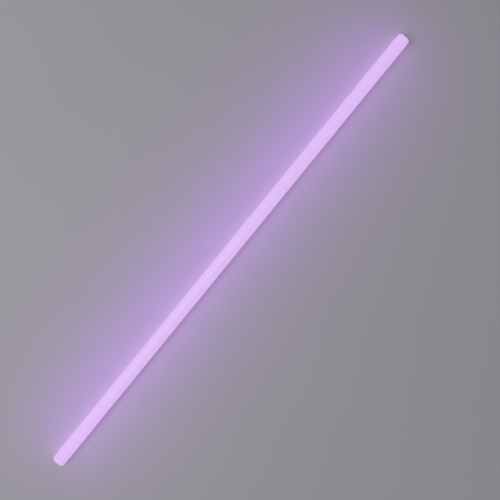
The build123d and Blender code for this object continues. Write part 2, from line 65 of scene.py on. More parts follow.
SENSOR_WIDTH = 36.0
DIODE_PITCH = 24 * MM

Colour = tuple[float, float, float]
Point = Sequence[float]
Surface = tuple[np.ndarray, np.ndarray]
Term = "Signal | float"
BLACK = (0.02, 0.02, 0.022)
LEAD_COLOURS = {
    "lead_brown": (0.10, 0.035, 0.012),
    "lead_blue": (0.015, 0.06, 0.36),
    "lead_red": (0.45, 0.012, 0.01),
    "lead_black": (0.012, 0.012, 0.013),
    "lead_white": (0.80, 0.80, 0.77),
}
log = logging.getLogger("lamp")


def linear(red: int, green: int, blue: int) -> Colour:
    """The linear colour that a shader takes for a display colour.

    A display value v up to 0.04045 gives v / 12.92, and any other ((v + 0.055) / 1.055) ** 2.4.

    Args:
        red, green, blue: the display colour, each from 0 to 255.

    Returns:
        The linear colour.
    """
    shares = np.array([red, green, blue]) / 255
    bright = ((shares + 0.055) / 1.055) ** 2.4
    return tuple(float(v) for v in np.where(shares > 0.04045, bright, shares / 12.92))


def dimmed(colour: Colour, share: float) -> Colour:
    """A colour times a number."""
    return tuple(share * v for v in colour)


class End(Enum):
    """The two ends of the lamp, each with the sign of its X."""

    LIVE = -1
    DEAD = 1


class Carve(Enum):
    """What a tool shape does to a piece."""

    CUT = "DIFFERENCE"
    JOIN = "UNION"


# Points and faces


def grid_faces(rows: int, columns: int, wrap_rows: bool = False) -> np.ndarray:
    """Quads between the neighbours of a grid whose point (i, j) has the number i * columns + j.

    Args:
        rows, columns: the grid's size; its last column meets the first.
        wrap_rows: whether the last row meets the first too.

    Returns:
        One quad to a row.
    """
    i, j = np.indices((rows if wrap_rows else rows - 1, columns)).reshape(2, -1)
    up, over = (i + 1) % rows, (j + 1) % columns
    return np.stack([i * columns + j, up * columns + j, up * columns + over, i * columns + over], axis=1)


def rounded(corners: Sequence[Point], radii: Sequence[float], steps: int) -> np.ndarray:
    """A line through corners, with a tangent arc at each inner corner that has a radius.

    An arc's points are its centre plus the two end radii, each weighted by the sine of the turn that is
    left to the other, over the sine of the whole turn.

    Args:
        corners: the corners, in two or three dimensions.
        radii: one radius for each inner corner; 0 keeps the corner sharp.
        steps: how many runs each arc has.

    Returns:
        The points of the line, one to a row.
    """
    corner = np.asarray(corners, float)
    share = np.linspace(0, 1, steps + 1)[:, None]
    parts = [corner[:1]]
    for before, here, after, radius in zip(corner[:-2], corner[1:-1], corner[2:], radii):
        back, on = ((far - here) / np.linalg.norm(far - here) for far in (before, after))
        half = np.arccos(np.clip(back @ on, -1, 1)) / 2
        turn = pi - 2 * half
        if radius <= 0 or turn < STRAIGHT:
            parts.append(here[None])
            continue
        reach = radius / np.tan(half)
        centre = here + (back + on) / np.linalg.norm(back + on) * radius / np.sin(half)
        first, last = here + back * reach - centre, here + on * reach - centre
        arc = (np.sin((1 - share) * turn) * first + np.sin(share * turn) * last) / np.sin(turn)
        parts.append(centre + arc)
    return np.concatenate([*parts, corner[-1:]])


def turned(profile: np.ndarray, place: Point = (0, 0, 0), segments: int = 64) -> Surface:
    """Carries a profile round an axis along X.

    A profile point (x, r) at the angle a gives (x, r cos a, r sin a), which is then moved.

    Args:
        profile: rows of (x, r) that start and end on the axis, so that the surface is closed.
        place: where the profile's origin goes.
        segments: how many steps go round.

    Returns:
        The points and the quads.
    """
    angle = np.arange(segments) * tau / segments
    x, r = profile[:, :1], profile[:, 1:]
    points = np.stack([x + 0 * angle, r * np.cos(angle), r * np.sin(angle)], axis=2)
    return points.reshape(-1, 3) + place, grid_faces(len(profile), segments)


def along_path(path: np.ndarray, section: np.ndarray, across: Point = (0, 1, 0)) -> Surface:
    """Carries a closed section along a path and closes both ends on the path.

    At each point the section's first axis is the direction across, made square to the path's tangent,
    and its second is the tangent crossed with the first.

    Args:
        path: the points of the path.
        section: rows of (u, v), either one section or one for each point of the path.
        across: a direction that the path never runs along.

    Returns:
        The points and the quads.
    """
    tangent = np.gradient(path, axis=0)
    tangent /= np.linalg.norm(tangent, axis=1, keepdims=True)
    first = np.asarray(across, float) - (tangent @ np.asarray(across, float))[:, None] * tangent
    first /= np.linalg.norm(first, axis=1, keepdims=True)
    second = np.cross(tangent, first)
    sections = np.broadcast_to(section, (len(path), *section.shape[-2:]))
    sections = np.concatenate([sections[:1] * 0, sections, sections[-1:] * 0])
    ends = np.r_[0, np.arange(len(path)), len(path) - 1]
    points = path[ends, None] + sections[..., :1] * first[ends, None] + sections[..., 1:] * second[ends, None]
    return points.reshape(-1, 3), grid_faces(len(ends), sections.shape[1])


def soft_box(low: Point, high: Point, edge: float, steps: int = 3) -> Surface:
    """A box with rounded edges and corners.

    A ball of the edge's radius, on a grid of turns from pole to pole and angles round, is parted along
    each axis by as much as the box is wider than the ball.

    Args:
        low, high: opposite corners.
        edge: the radius of the edges.
        steps: how many runs each quarter turn has.

    Returns:
        The points and the quads.
    """
    low, high = np.asarray(low, float), np.asarray(high, float)
    quarter = np.linspace(0, pi / 2, steps + 1)
    around = np.concatenate([quarter + n * pi / 2 for n in range(4)])
    rise = np.concatenate([quarter - pi / 2, quarter])
    side_x, side_y = np.repeat([1, -1, -1, 1], steps + 1), np.repeat([1, 1, -1, -1], steps + 1)
    middle, spare = (low + high) / 2, (high - low) / 2 - edge
    x = edge * np.cos(rise)[:, None] * np.cos(around) + side_x * spare[0]
    y = edge * np.cos(rise)[:, None] * np.sin(around) + side_y * spare[1]
    z = (edge * np.sin(rise) + np.repeat([-1, 1], steps + 1) * spare[2])[:, None] + 0 * x
    points = np.stack([x, y, z], axis=2)
    poles = (points[:1] * 0 + points[end].mean(0) for end in (0, -1))
    rings = np.concatenate([next(poles), points, next(poles)])
    return (rings + middle).reshape(-1, 3), grid_faces(len(rings), len(around))


# Meshes and pieces


def tidied(mesh: Mesh) -> Mesh:
    """Merges doubled points, drops empty faces and turns faces outwards.

    Args:
        mesh: a closed shape, which is changed.

    Returns:
        The same mesh.
    """
    work = bmesh.new()
    work.from_mesh(mesh)
    bmesh.ops.remove_doubles(work, verts=work.verts, dist=MERGE_DISTANCE)
    bmesh.ops.dissolve_degenerate(work, edges=work.edges, dist=MERGE_DISTANCE / 4)
    bmesh.ops.recalc_face_normals(work, faces=work.faces)
    work.to_mesh(mesh)
    work.free()
    return mesh


def new_mesh(name: str, *parts: Surface) -> Mesh:
    """Makes one mesh of several surfaces, with poles and seams closed and faces outwards.

    Args:
        name: the mesh's name.
        parts: each surface's points and quads.

    Returns:
        The mesh.
    """
    starts = np.cumsum([0, *(len(points) for points, _ in parts)])
    points = np.concatenate([points for points, _ in parts])
    faces = np.concatenate([faces + start for (_, faces), start in zip(parts, starts)])
    mesh = bpy.data.meshes.new(name)
    mesh.from_pydata(points, [], faces)
    return tidied(mesh)


def carved(mesh: Mesh, tool: Mesh, carve: Carve) -> Mesh:
    """Cuts a tool shape out of a mesh, or joins it on.

    Args:
        mesh, tool: the closed shape that is carved, and the closed tool shape.
        carve: what the tool does.

    Returns:
        A new mesh.
    """
    body, cutter = (bpy.data.objects.new("work", data) for data in (mesh, tool))
    for thing in (body, cutter):
        bpy.context.scene.collection.objects.link(thing)
    step = body.modifiers.new("carve", "BOOLEAN")
    step.operation, step.object, step.solver = carve.value, cutter, "EXACT"
    made = bpy.data.meshes.new_from_object(body.evaluated_get(bpy.context.evaluated_depsgraph_get()))
    for thing in (body, cutter):
        bpy.data.objects.remove(thing)
    return made


def add_piece(name: str, mesh: Mesh, material: Material, nodes: Iterable[str]) -> None:
    """Puts a finished mesh into the scene as a piece that stands for some nodes of the model.

    Args:
        name: the piece's name.
        mesh: its mesh, in place.
        material: its finish.
        nodes: the nodes that it stands for.
    """
    mesh.materials.clear()
    mesh.materials.append(material)
    mesh.polygons.foreach_set("use_smooth", np.ones(len(mesh.polygons), bool))
    mesh.set_sharp_from_angle(angle=SHARP_ANGLE)
    piece = bpy.data.objects.new(name, mesh)
    bpy.context.scene.collection.objects.link(piece)
    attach(piece, BODY)
    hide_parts(*nodes)
    log.info("%s: %d faces, stands for %s", name, len(mesh.polygons), ", ".join(nodes))


def dress_node(node: str, material: Material) -> None:
    """Gives a node of the model its finish and leaves its shape alone.

    Args:
        node: the node's name.
        material: its finish.
    """
    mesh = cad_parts[node].data
    mesh.materials.clear()
    mesh.materials.append(material)
    log.info("%s: dressed as %s", node, material.name)


# Shader values and materials


def operator(operation: str, reflected: bool = False) -> Callable[..., Signal]:
    """Makes a method that adds one Math node.

    Args:
        operation: what the node works out.
        reflected: whether the signal is the last term instead of the first.

    Returns:
        The method, which takes the other terms and returns the result.
    """

    def method(self: Signal, *others: Term) -> Signal:
        """Adds the node."""
        return self.paint.math(operation, *((*others, self) if reflected else (self, *others)))

    return method


@dataclass(frozen=True)
class Signal:
    """A number that varies over a surface: the socket that gives it, and operators that each add a node."""

    paint: Paint
    socket: NodeSocket

    __add__ = __radd__ = operator("ADD")
    __sub__ = operator("SUBTRACT")
    __rsub__ = operator("SUBTRACT", reflected=True)
    __mul__ = __rmul__ = operator("MULTIPLY")
    __truediv__ = operator("DIVIDE")
    __rtruediv__ = operator("DIVIDE", reflected=True)
    __abs__ = operator("ABSOLUTE")
    sine = operator("SINE")
    fraction = operator("FRACT")

    def ramp(self, start: float, end: float, low: float = 0.0, high: float = 1.0) -> Signal:
        """Goes smoothly from low to high as the value goes from start to end.

        Args:
            start, end: the stretch of the value.
            low, high: what it becomes at the stretch's two ends.

        Returns:
            The smoothed value.
        """
        values = {"Value": self, "From Min": start, "From Max": end, "To Min": low, "To Max": high}
        node = self.paint.node("ShaderNodeMapRange", {"interpolation_type": "SMOOTHSTEP"}, values)
        return Signal(self.paint, node.outputs[0])

    def inside(self, low: float, high: float, blur: float) -> Signal:
        """1 where the value lies between two limits, with edges as soft as blur."""
        return self.ramp(low - blur, low) * self.ramp(high, high + blur, 1.0, 0.0)

    def from_middle(self, pitch: float) -> Signal:
        """How far a place is from the middle of the pitch that it is in."""
        return abs((self / pitch).fraction() - 0.5) * pitch


class Paint:
    """A material under construction: one Principled shader and the nodes that feed it."""

    def __init__(self, name: str, constants: dict[str, object]) -> None:
        """Starts a material.

        Args:
            name: the material's name.
            constants: values that are the same all over, by the shader's socket names.
        """
        self.material = bpy.data.materials.new(name)
        self.material.use_nodes = True
        self.tree = self.material.node_tree
        self.tree.nodes.clear()
        self.shader = self.node("ShaderNodeBsdfPrincipled", {}, constants)
        self.output = self.node("ShaderNodeOutputMaterial", {}, {"Surface": self.shader.outputs[0]})
        self.coordinates = self.node("ShaderNodeTexCoord", {}, {}).outputs["Object"]

    def node(self, kind: str, settings: dict[str, object], inputs: dict[object, object]) -> Node:
        """Adds a node.

        Args:
            kind: the node's type.
            settings: its properties, which are set first.
            inputs: its sockets' values or links, by name or number.

        Returns:
            The node.
        """
        made = self.tree.nodes.new(kind)
        for name, value in settings.items():
            setattr(made, name, value)
        for key, value in inputs.items():
            socket = made.inputs[key]
            source = value.socket if isinstance(value, Signal) else value
            if isinstance(source, NodeSocket):
                self.tree.links.new(source, socket)
            elif hasattr(socket.default_value, "__len__") and len(socket.default_value) == 4:
                socket.default_value = (*source, 1.0)
            else:
                socket.default_value = source
        return made

    def math(self, operation: str, *terms: Term) -> Signal:
        """One Math node on values, as a new value."""
        made = self.node("ShaderNodeMath", {"operation": operation}, dict(enumerate(terms)))
        return Signal(self, made.outputs[0])

    def axes(self) -> tuple[Signal, Signal, Signal]:
        """The place on the object along X, Y and Z, in metres."""
        made = self.node("ShaderNodeSeparateXYZ", {}, {0: self.coordinates})
        return tuple(Signal(self, socket) for socket in made.outputs)

    def stretched(self, stretch: Point) -> NodeSocket:
        """The place with each axis multiplied by a number; under 1 draws a pattern out along it."""
        places = {0: self.coordinates, 1: stretch}
        return self.node("ShaderNodeVectorMath", {"operation": "MULTIPLY"}, places).outputs[0]

    def noise(self, size: float, detail: float = 2.0, stretch: Point = (1, 1, 1)) -> Signal:
        """Smooth noise from 0 to 1, with blobs of a size in metres and some finer layers of detail."""
        values = {"Vector": self.stretched(stretch), "Scale": 1 / size, "Detail": detail}
        return Signal(self, self.node("ShaderNodeTexNoise", {}, values).outputs[0])

    def cells(self, size: float, stretch: Point) -> Signal:
        """Square distance to the nearest of many scattered points, in cells of a size in metres."""
        values = {"Vector": self.stretched(stretch), "Scale": 1 / size}
        return Signal(self, self.node("ShaderNodeTexVoronoi", {"distance": "CHEBYCHEV"}, values).outputs[0])

    def blend(self, share: Signal, first: object, second: object) -> NodeSocket:
        """Mixes two colours or links: a share of 0 gives the first and 1 the second."""
        return self.node("ShaderNodeMix", {"data_type": "RGBA"}, {0: share, 6: first, 7: second}).outputs[2]

    def tinted(self, colour: object, value: Signal) -> NodeSocket:
        """A colour times a value.

        Args:
            colour: a colour or a link.
            value: what each of its parts is multiplied by.

        Returns:
            The product's socket.
        """
        grey = self.node("ShaderNodeCombineXYZ", {}, {0: value, 1: value, 2: value}).outputs[0]
        settings = {"data_type": "RGBA", "blend_type": "MULTIPLY"}
        return self.node("ShaderNodeMix", settings, {0: 1.0, 6: colour, 7: grey}).outputs[2]

    def finish(self, depth: float, height: Signal, feeds: dict[str, object]) -> Material:
        """Feeds the shader and gives the material.

        Args:
            depth: how deep the relief is, in metres.
            height: the relief from 0 to 1.
            feeds: what varies, by the shader's socket names.

        Returns:
            The material.
        """
        bump = self.node("ShaderNodeBump", {}, {"Distance": depth, "Height": height})
        for name, source in {**feeds, "Normal": bump.outputs[0]}.items():
            socket = source.socket if isinstance(source, Signal) else source
            self.tree.links.new(socket, self.shader.inputs[name])
        return self.material


# Finishes of what shows


@dataclass(frozen=True)
class OpalGlow:
    """Lit opal plastic: even and bright, cool over the diodes and pinker towards the fins."""

    name: str
    reach: float
    joint: float
    crown: Colour = linear(211, 179, 236)
    flank: Colour = linear(221, 169, 240)
    plastic: Colour = (0.22, 0.19, 0.25)
    ripple: float = 0.012
    end_run: float = 5 * MM
    end_fall: float = 0.10
    axis_blur: float = 6 * MM
    joint_half_width: float = 0.12 * MM
    joint_dark: float = 0.3
    relief: float = 0.02 * MM

    def material(self) -> Material:
        """Makes the material: the glow follows the angle round the lamp and the place along it.

        Returns:
            The material.
        """
        constants = {"IOR": 1.49, "Coat Weight": 0.25, "Coat Roughness": 0.18, "Emission Strength": 1.0}
        paint = Paint(self.name, constants)
        x, y, z = paint.axes()
        sideways = (y * y) / (y * y + z * z + self.axis_blur**2)
        cloud = paint.noise(30 * MM, 3, (0.15, 1, 1))
        grain = paint.noise(0.9 * MM, 2)
        lines = paint.noise(1.2 * MM, 2, (0.01, 1, 1))
        beat = 1 + (x * (tau / DIODE_PITCH)).sine() * self.ripple
        evenness = 0.98 + cloud * 0.04
        falls = abs(x).ramp(self.reach - self.end_run, self.reach, 1.0, 1.0 - self.end_fall)
        joint = abs(abs(x) - self.joint).ramp(0, self.joint_half_width, 1.0 - self.joint_dark, 1.0)
        glow = paint.blend(sideways.ramp(0.0, 1.0), self.crown, self.flank)
        feeds = {
            "Base Color": paint.blend(cloud, self.plastic, dimmed(self.plastic, 0.86)),
            "Roughness": 0.34 + grain * 0.14,
            "Emission Color": paint.tinted(glow, beat * evenness * falls * joint),
        }
        return paint.finish(self.relief, lines * 0.6 + grain * 0.4, feeds)


@dataclass(frozen=True)
class TurnedMetal:
    """Bare or plated metal with turning marks, small scratches and a little tarnish."""

    name: str
    bright: Colour
    tarnish: Colour
    smooth: float = 0.22
    mark_pitch: float = 0.12 * MM
    waver: float = 0.02 * MM
    relief: float = 0.004 * MM

    def material(self) -> Material:
        """Makes the material: rings along X, scratches along X and tarnish in soft clouds.

        Returns:
            The material.
        """
        paint = Paint(self.name, {"Metallic": 1.0})
        x, _, _ = paint.axes()
        cloud = paint.noise(1.4 * MM, 4)
        scratch = paint.noise(0.25 * MM, 3, (0.12, 1, 1))
        rings = ((x + cloud * self.waver) * (tau / self.mark_pitch)).sine() * 0.5 + 0.5
        worn = cloud.ramp(0.42, 0.68)
        feeds = {
            "Base Color": paint.blend(worn, self.bright, self.tarnish),
            "Roughness": self.smooth + worn * 0.16 + scratch * 0.10,
        }
        return paint.finish(self.relief, rings * 0.5 + scratch * 0.5, feeds)


# Shapes of what shows


@dataclass
class Tube:
    """The opal tube with its two pairs of rails."""

    wall: float = 1.0 * MM
    rail_tip: float = 11.0 * MM
    rail_sides: tuple[float, float] = (0.75 * MM, 1.75 * MM)
    lip: float = 0.12 * MM
    lip_bend: float = 0.3
    quarter_steps: int = 30

    def bore(self, radius: float) -> tuple[np.ndarray, np.ndarray]:
        """The inside's outline as an angle and a distance, with the rails' corners as points of their own.

        A point (y, z) of the outline has the angle of (y, z) and its distance from the axis. One quarter
        is drawn and mirrored three times.

        Args:
            radius: the inside's radius between the rails.

        Returns:
            Angles in rising order and distances.
        """
        sides = np.array(self.rail_sides)
        first, last = np.arcsin(sides / radius)
        wall = np.linspace(last, pi / 2, self.quarter_steps)
        angle = np.r_[0, first, np.arctan2(sides, self.rail_tip), wall]
        reach = np.r_[radius, radius, np.hypot(self.rail_tip, sides), 0 * wall + radius]
        angle, reach = np.r_[angle, (pi - angle)[-2:0:-1]], np.r_[reach, reach[-2:0:-1]]
        return np.r_[angle, angle + pi], np.r_[reach, reach]

    def build(self, finish: OpalGlow) -> None:
        """Makes the tube: the wall's long section, a closed loop, is carried round by the outline's angles.

        Args:
            finish: its finish.
        """
        low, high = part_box("diffuser_tube")
        angle, bore = self.bore(high.y - self.wall)
        ring, lip, bend = np.full_like(angle, high.y), self.lip, self.lip * self.lip_bend
        stations = [
            (low.x + lip, ring),
            (high.x - lip, ring),
            (high.x - bend, ring - bend),
            (high.x, ring - lip),
            (high.x, bore),
            (low.x, bore),
            (low.x, ring - lip),
            (low.x + bend, ring - bend),
        ]
        x, r = np.array([[x] for x, _ in stations]), np.stack([reach for _, reach in stations])
        points = np.stack([x + 0 * r, r * np.cos(angle), r * np.sin(angle)], axis=2).reshape(-1, 3)
        mesh = new_mesh("opal_tube", (points, grid_faces(len(stations), len(angle), wrap_rows=True)))
        add_piece("opal_tube", mesh, finish.material(), ["diffuser_tube"])


@dataclass
class EndCap:
    """A moulded cap: rounded rim, spigot with notches, screw blocks, screw recesses and pin holes."""

    edge_radius: float = 3.0 * MM
    end_wall: float = 2.5 * MM
    spigot_length: float = 8.0 * MM
    spigot_radius: float = 12.9 * MM
    bore_radius: float = 11.7 * MM
    inner_radii: tuple[float, ...] = (0.4 * MM, 0, 0.35 * MM, 0, 0.12 * MM)
    screw_offset: float = 8.6 * MM
    screw_hole: float = 1.15 * MM
    recess_radius: float = 2.2 * MM
    recess_depth: float = 1.6 * MM
    block_half: float = 2.25 * MM
    notch_inside: float = 10.5 * MM
    notch_half: float = 1.95 * MM
    notch_overlap: float = 0.05 * MM
    pin_offset: float = 6.35 * MM
    pin_hole: float = 1.6 * MM
    small_edge: float = 0.2 * MM
    tool_overlap: float = 0.5 * MM
    segments: int = 128

    def shell(self, rim: float, outside: float) -> Mesh:
        """The cap's turned form, from the inner face over the spigot and the rim to the outer face.

        Args:
            rim: the rim's length.
            outside: the lamp's radius.

        Returns:
            The closed mesh.
        """
        depth, bore, spigot = rim - self.end_wall, self.bore_radius, self.spigot_radius
        corners = [(depth, 0), (depth, bore), (-self.spigot_length, bore), (-self.spigot_length, spigot)]
        corners += [(0, spigot), (0, outside), (rim, outside), (rim, 0)]
        profile = rounded(corners, (*self.inner_radii, self.edge_radius), 10)
        return new_mesh("cap", turned(profile, segments=self.segments))

    def hole(self, corners: Sequence[Point], radii: Sequence[float], y: float, z: float) -> Mesh:
        """A round tool with its axis along X at (y, z)."""
        return new_mesh("tool", turned(rounded(corners, radii, 6), (0, y, z)))

    def block(self, start: float, end: float, inside: float, outside: float, half: float) -> Mesh:
        """A block tool with slightly rounded edges: its reach along X, its reach across, its half height."""
        near, far = sorted((inside, outside))
        return new_mesh("tool", soft_box((start, near, -half), (end, far, half), self.small_edge, 2))

    def carve(self, rim: float, outside: float) -> Mesh:
        """Joins the screw blocks and cuts notches, screw holes, recesses and pin holes.

        Args:
            rim: the rim's length.
            outside: the lamp's radius.

        Returns:
            The finished cap in its own frame, with x = 0 where its rim meets the tube.
        """
        over, edge, spigot = self.tool_overlap, self.small_edge, -self.spigot_length
        depth, floor, beyond = rim - self.end_wall, rim - self.recess_depth, rim + over
        hole, recess, flare = self.screw_hole, self.recess_radius, self.recess_radius + edge
        screw = [(-over, 0), (-over, hole), (floor, hole), (floor, recess), (rim, recess), (rim, flare)]
        screw += [(beyond, flare), (beyond, 0)]
        pin = [(depth - over, 0), (depth - over, self.pin_hole), (beyond, self.pin_hole), (beyond, 0)]
        tools = []
        for side in (-1, 1):
            inside, reach = side * (self.screw_offset - self.block_half), side * (self.bore_radius + over)
            tools.append((self.block(0, depth + over, inside, reach, self.block_half), Carve.JOIN))
        for side in (-1, 1):
            inside, reach = side * self.notch_inside, side * (outside + over)
            notch = self.block(spigot - over, self.notch_overlap, inside, reach, self.notch_half)
            screw_tool = self.hole(screw, (0, 0, 0, edge, 0, 0), side * self.screw_offset, 0)
            pin_tool = self.hole(pin, (0, 0), 0, side * self.pin_offset)
            tools += [(tool, Carve.CUT) for tool in (notch, screw_tool, pin_tool)]
        mesh = self.shell(rim, outside)
        for tool, kind in tools:
            mesh = carved(mesh, tool, kind)
        return tidied(mesh)

    def build(self, end: End, finish: Material) -> None:
        """Places the cap at one end; the live end's is turned half round Z.

        Args:
            end: which end.
            finish: its material.
        """
        node = "end_cap_a" if end is End.LIVE else "end_cap_b"
        low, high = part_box(node)
        tube_end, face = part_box("diffuser_tube")[1].x, max(abs(low.x), abs(high.x))
        mesh = self.carve(face - tube_end, high.y)
        mesh.transform(Matrix.Translation((tube_end, 0, 0)))
        if end is End.LIVE:
            mesh.transform(Matrix.Rotation(pi, 4, "Z"))
        add_piece(node.replace("end_cap", "opal_cap"), mesh, finish, [node])


@dataclass
class ContactPin:
    """A brass pin: shank in the cap's wall, free pin with a rounded, crimped tip."""

    shank_radius: float = 1.6 * MM
    pin_radius: float = 1.175 * MM
    tip_round: float = 0.5 * MM
    crimp_radius: float = 0.38 * MM
    crimp_floor: float = 0.6
    crimp_depth: float = 0.3 * MM
    neck: float = 0.08 * MM
    soft: float = 0.1 * MM

    def build(self, node: str, face: float, finish: Material) -> None:
        """Turns the pin's profile about its own axis and puts it where its node is.

        Args:
            node: the pin's node.
            face: how far the cap's outer face is from the middle of the lamp.
            finish: its material.
        """
        low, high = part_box(node)
        inner, tip = sorted((abs(low.x), abs(high.x)))
        shank, free, crimp = self.shank_radius, self.pin_radius, self.crimp_radius
        floor = tip - self.crimp_depth
        corners = [(inner, 0), (inner, shank), (face, shank), (face, free), (tip, free), (tip, crimp)]
        corners += [(floor, crimp * self.crimp_floor), (floor, 0)]
        radii = (self.soft, self.neck, self.neck, self.tip_round, self.soft, self.soft / 2)
        points, faces = turned(rounded(corners, radii, 8))
        turn = np.array([-1, -1, 1]) if high.x < 0 else np.ones(3)
        mesh = new_mesh(node, (points * turn + (0, 0, (low.z + high.z) / 2), faces))
        add_piece(node.replace("pin_", "contact_pin_"), mesh, finish, [node])


@dataclass
class CapScrews:
    """Four self-tapping screws with domed heads, cross recesses and a rolled thread."""

    head_radius: float = 2.0 * MM
    head_height: float = 1.3 * MM
    head_radii: tuple[float, float] = (0.15 * MM, 0.55 * MM)
    recess_depth: float = 1.6 * MM
    cross_half_width: float = 0.32 * MM
    cross_half_length: float = 1.2 * MM
    cross_depth: float = 0.7 * MM
    cross_slope: float = 0.14 * MM
    shank_radius: float = 0.95 * MM
    point_radius: float = 0.3 * MM
    point_length: float = 1.2 * MM
    plain_length: float = 0.3 * MM
    thread_pitch: float = 0.7 * MM
    thread_depth: float = 0.2 * MM
    thread_power: float = 0.7
    engagement: float = 8.5 * MM
    segments: int = 96

    def surface(self, rim: float) -> Surface:
        """One screw about the X axis, in the cap's frame.

        The shank's radius dips by the thread depth times (1 - |2 t - 1|) to the thread's power, where t is
        the part of a turn along the helix x / pitch - angle / turn. The crown sinks by the cross depth
        where the point lies in either bar of the cross, and its bars narrow towards their floor.

        Args:
            rim: the cap's rim length.

        Returns:
            The points and the quads.
        """
        seat, start, shank = rim - self.recess_depth, -self.engagement, self.shank_radius
        top, wide = seat + self.head_height, self.head_radius
        threaded = np.linspace(start + self.point_length, seat - self.plain_length, 130)
        point = [(start, 0), (start, self.point_radius), (threaded[0], shank)]
        head = rounded([(seat, shank), (seat, wide), (top, wide), (top, 0)], self.head_radii, 8)[:-1]
        crown = np.linspace(head[-1, 1], 0, 34)[1:]
        profile = np.concatenate(
            [
                rounded(point, [0.1 * MM], 4)[:-1],
                np.stack([threaded, np.full_like(threaded, shank)], axis=1),
                head,
                np.stack([np.full_like(crown, top), crown], axis=1),
            ]
        )
        angle = np.arange(self.segments) * tau / self.segments
        x, r = profile[:, :1] + 0 * angle, profile[:, 1:] + 0 * angle
        phase = (x / self.thread_pitch - angle / tau) % 1
        on_shank = (x >= threaded[0]) & (x <= threaded[-1]) & (profile[:, 1:] <= shank)
        r = r - on_shank * self.thread_depth * (1 - abs(2 * phase - 1)) ** self.thread_power
        y, z = r * np.cos(angle), r * np.sin(angle)
        sunk = np.maximum(self.bar(y, z), self.bar(z, y))
        x = x - np.where(profile[:, :1] > top - self.plain_length, sunk * self.cross_depth, 0)
        return np.stack([x, y, z], axis=2).reshape(-1, 3), grid_faces(len(profile), self.segments)

    def bar(self, across: np.ndarray, along: np.ndarray) -> np.ndarray:
        """How deep one bar of the cross is: 1 on its floor, 0 outside it, sloped between.

        Args:
            across, along: each point's place across and along the bar.

        Returns:
            The depths.
        """
        width = np.clip((self.cross_half_width - abs(across)) / self.cross_slope + 0.5, 0, 1)
        length = np.clip((self.cross_half_length - abs(along)) / (3 * self.cross_slope) + 0.5, 0, 1)
        return np.minimum(width, length)

    def build(self, finish: Material) -> None:
        """Places the four screws, two to a cap.

        Args:
            finish: their material.
        """
        tube_end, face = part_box("diffuser_tube")[1].x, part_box("end_cap_b")[1].x
        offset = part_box("cap_screws")[1].y - self.head_radius
        points, faces = self.surface(face - tube_end)
        parts = []
        for end in End:
            turn = np.array([end.value, end.value, 1])
            for side in (-1, 1):
                parts.append(((points + (tube_end, 0, 0)) * turn + (0, side * offset, 0), faces))
        add_piece("domed_screws", new_mesh("cap_screws", *parts), finish, ["cap_screws"])


# Finishes of what is inside


@dataclass(frozen=True)
class Moulding:
    """Moulded, coated or sheet stuff with grain and soft clouds; outside its body's box it is tinned."""

    name: str
    colour: Colour
    cloud: Colour
    rough: float = 0.5
    grain: float = 0.3 * MM
    depth: float = 0.01 * MM
    stretch: Point = (1, 1, 1)
    coat: float = 0.0
    body: tuple[Vector, Vector] | None = None
    edge_blur: float = 0.02 * MM
    tin: Colour = (0.76, 0.76, 0.74)
    tin_rough: float = 0.28

    def material(self) -> Material:
        """Makes the material.

        Returns:
            The material.
        """
        paint = Paint(self.name, {"Coat Weight": self.coat, "Coat Roughness": 0.2})
        cloud = paint.noise(self.grain * 12, 3, self.stretch)
        grain = paint.noise(self.grain, 3, self.stretch)
        colour = paint.blend(cloud.ramp(0.3, 0.7), self.colour, self.cloud)
        rough = self.rough - 0.08 + grain * 0.16
        if self.body is None:
            return paint.finish(self.depth, grain, {"Base Color": colour, "Roughness": rough})
        covered = 1.0
        for place, start, end in zip(paint.axes(), *self.body):
            covered = place.inside(start, end, self.edge_blur) * covered
        feeds = {
            "Base Color": paint.blend(covered, self.tin, colour),
            "Metallic": 1 - covered,
            "Roughness": self.tin_rough + covered * (rough - self.tin_rough),
        }
        return paint.finish(self.depth, grain, feeds)


@dataclass(frozen=True)
class Extruded:
    """Extruded aluminium with die lines along X and long soft bands."""

    name: str
    bright: Colour = (0.80, 0.81, 0.83)
    shade: Colour = (0.60, 0.61, 0.64)
    relief: float = 0.01 * MM

    def material(self) -> Material:
        """Makes the material.

        Returns:
            The material.
        """
        paint = Paint(self.name, {"Metallic": 1.0})
        lines = paint.noise(0.35 * MM, 4, (0.002, 1, 1))
        bands = paint.noise(80 * MM, 2)
        feeds = {
            "Base Color": paint.blend(lines.ramp(0.35, 0.65), self.bright, self.shade),
            "Roughness": 0.24 + lines * 0.2 + bands * 0.08,
        }
        return paint.finish(self.relief, lines, feeds)


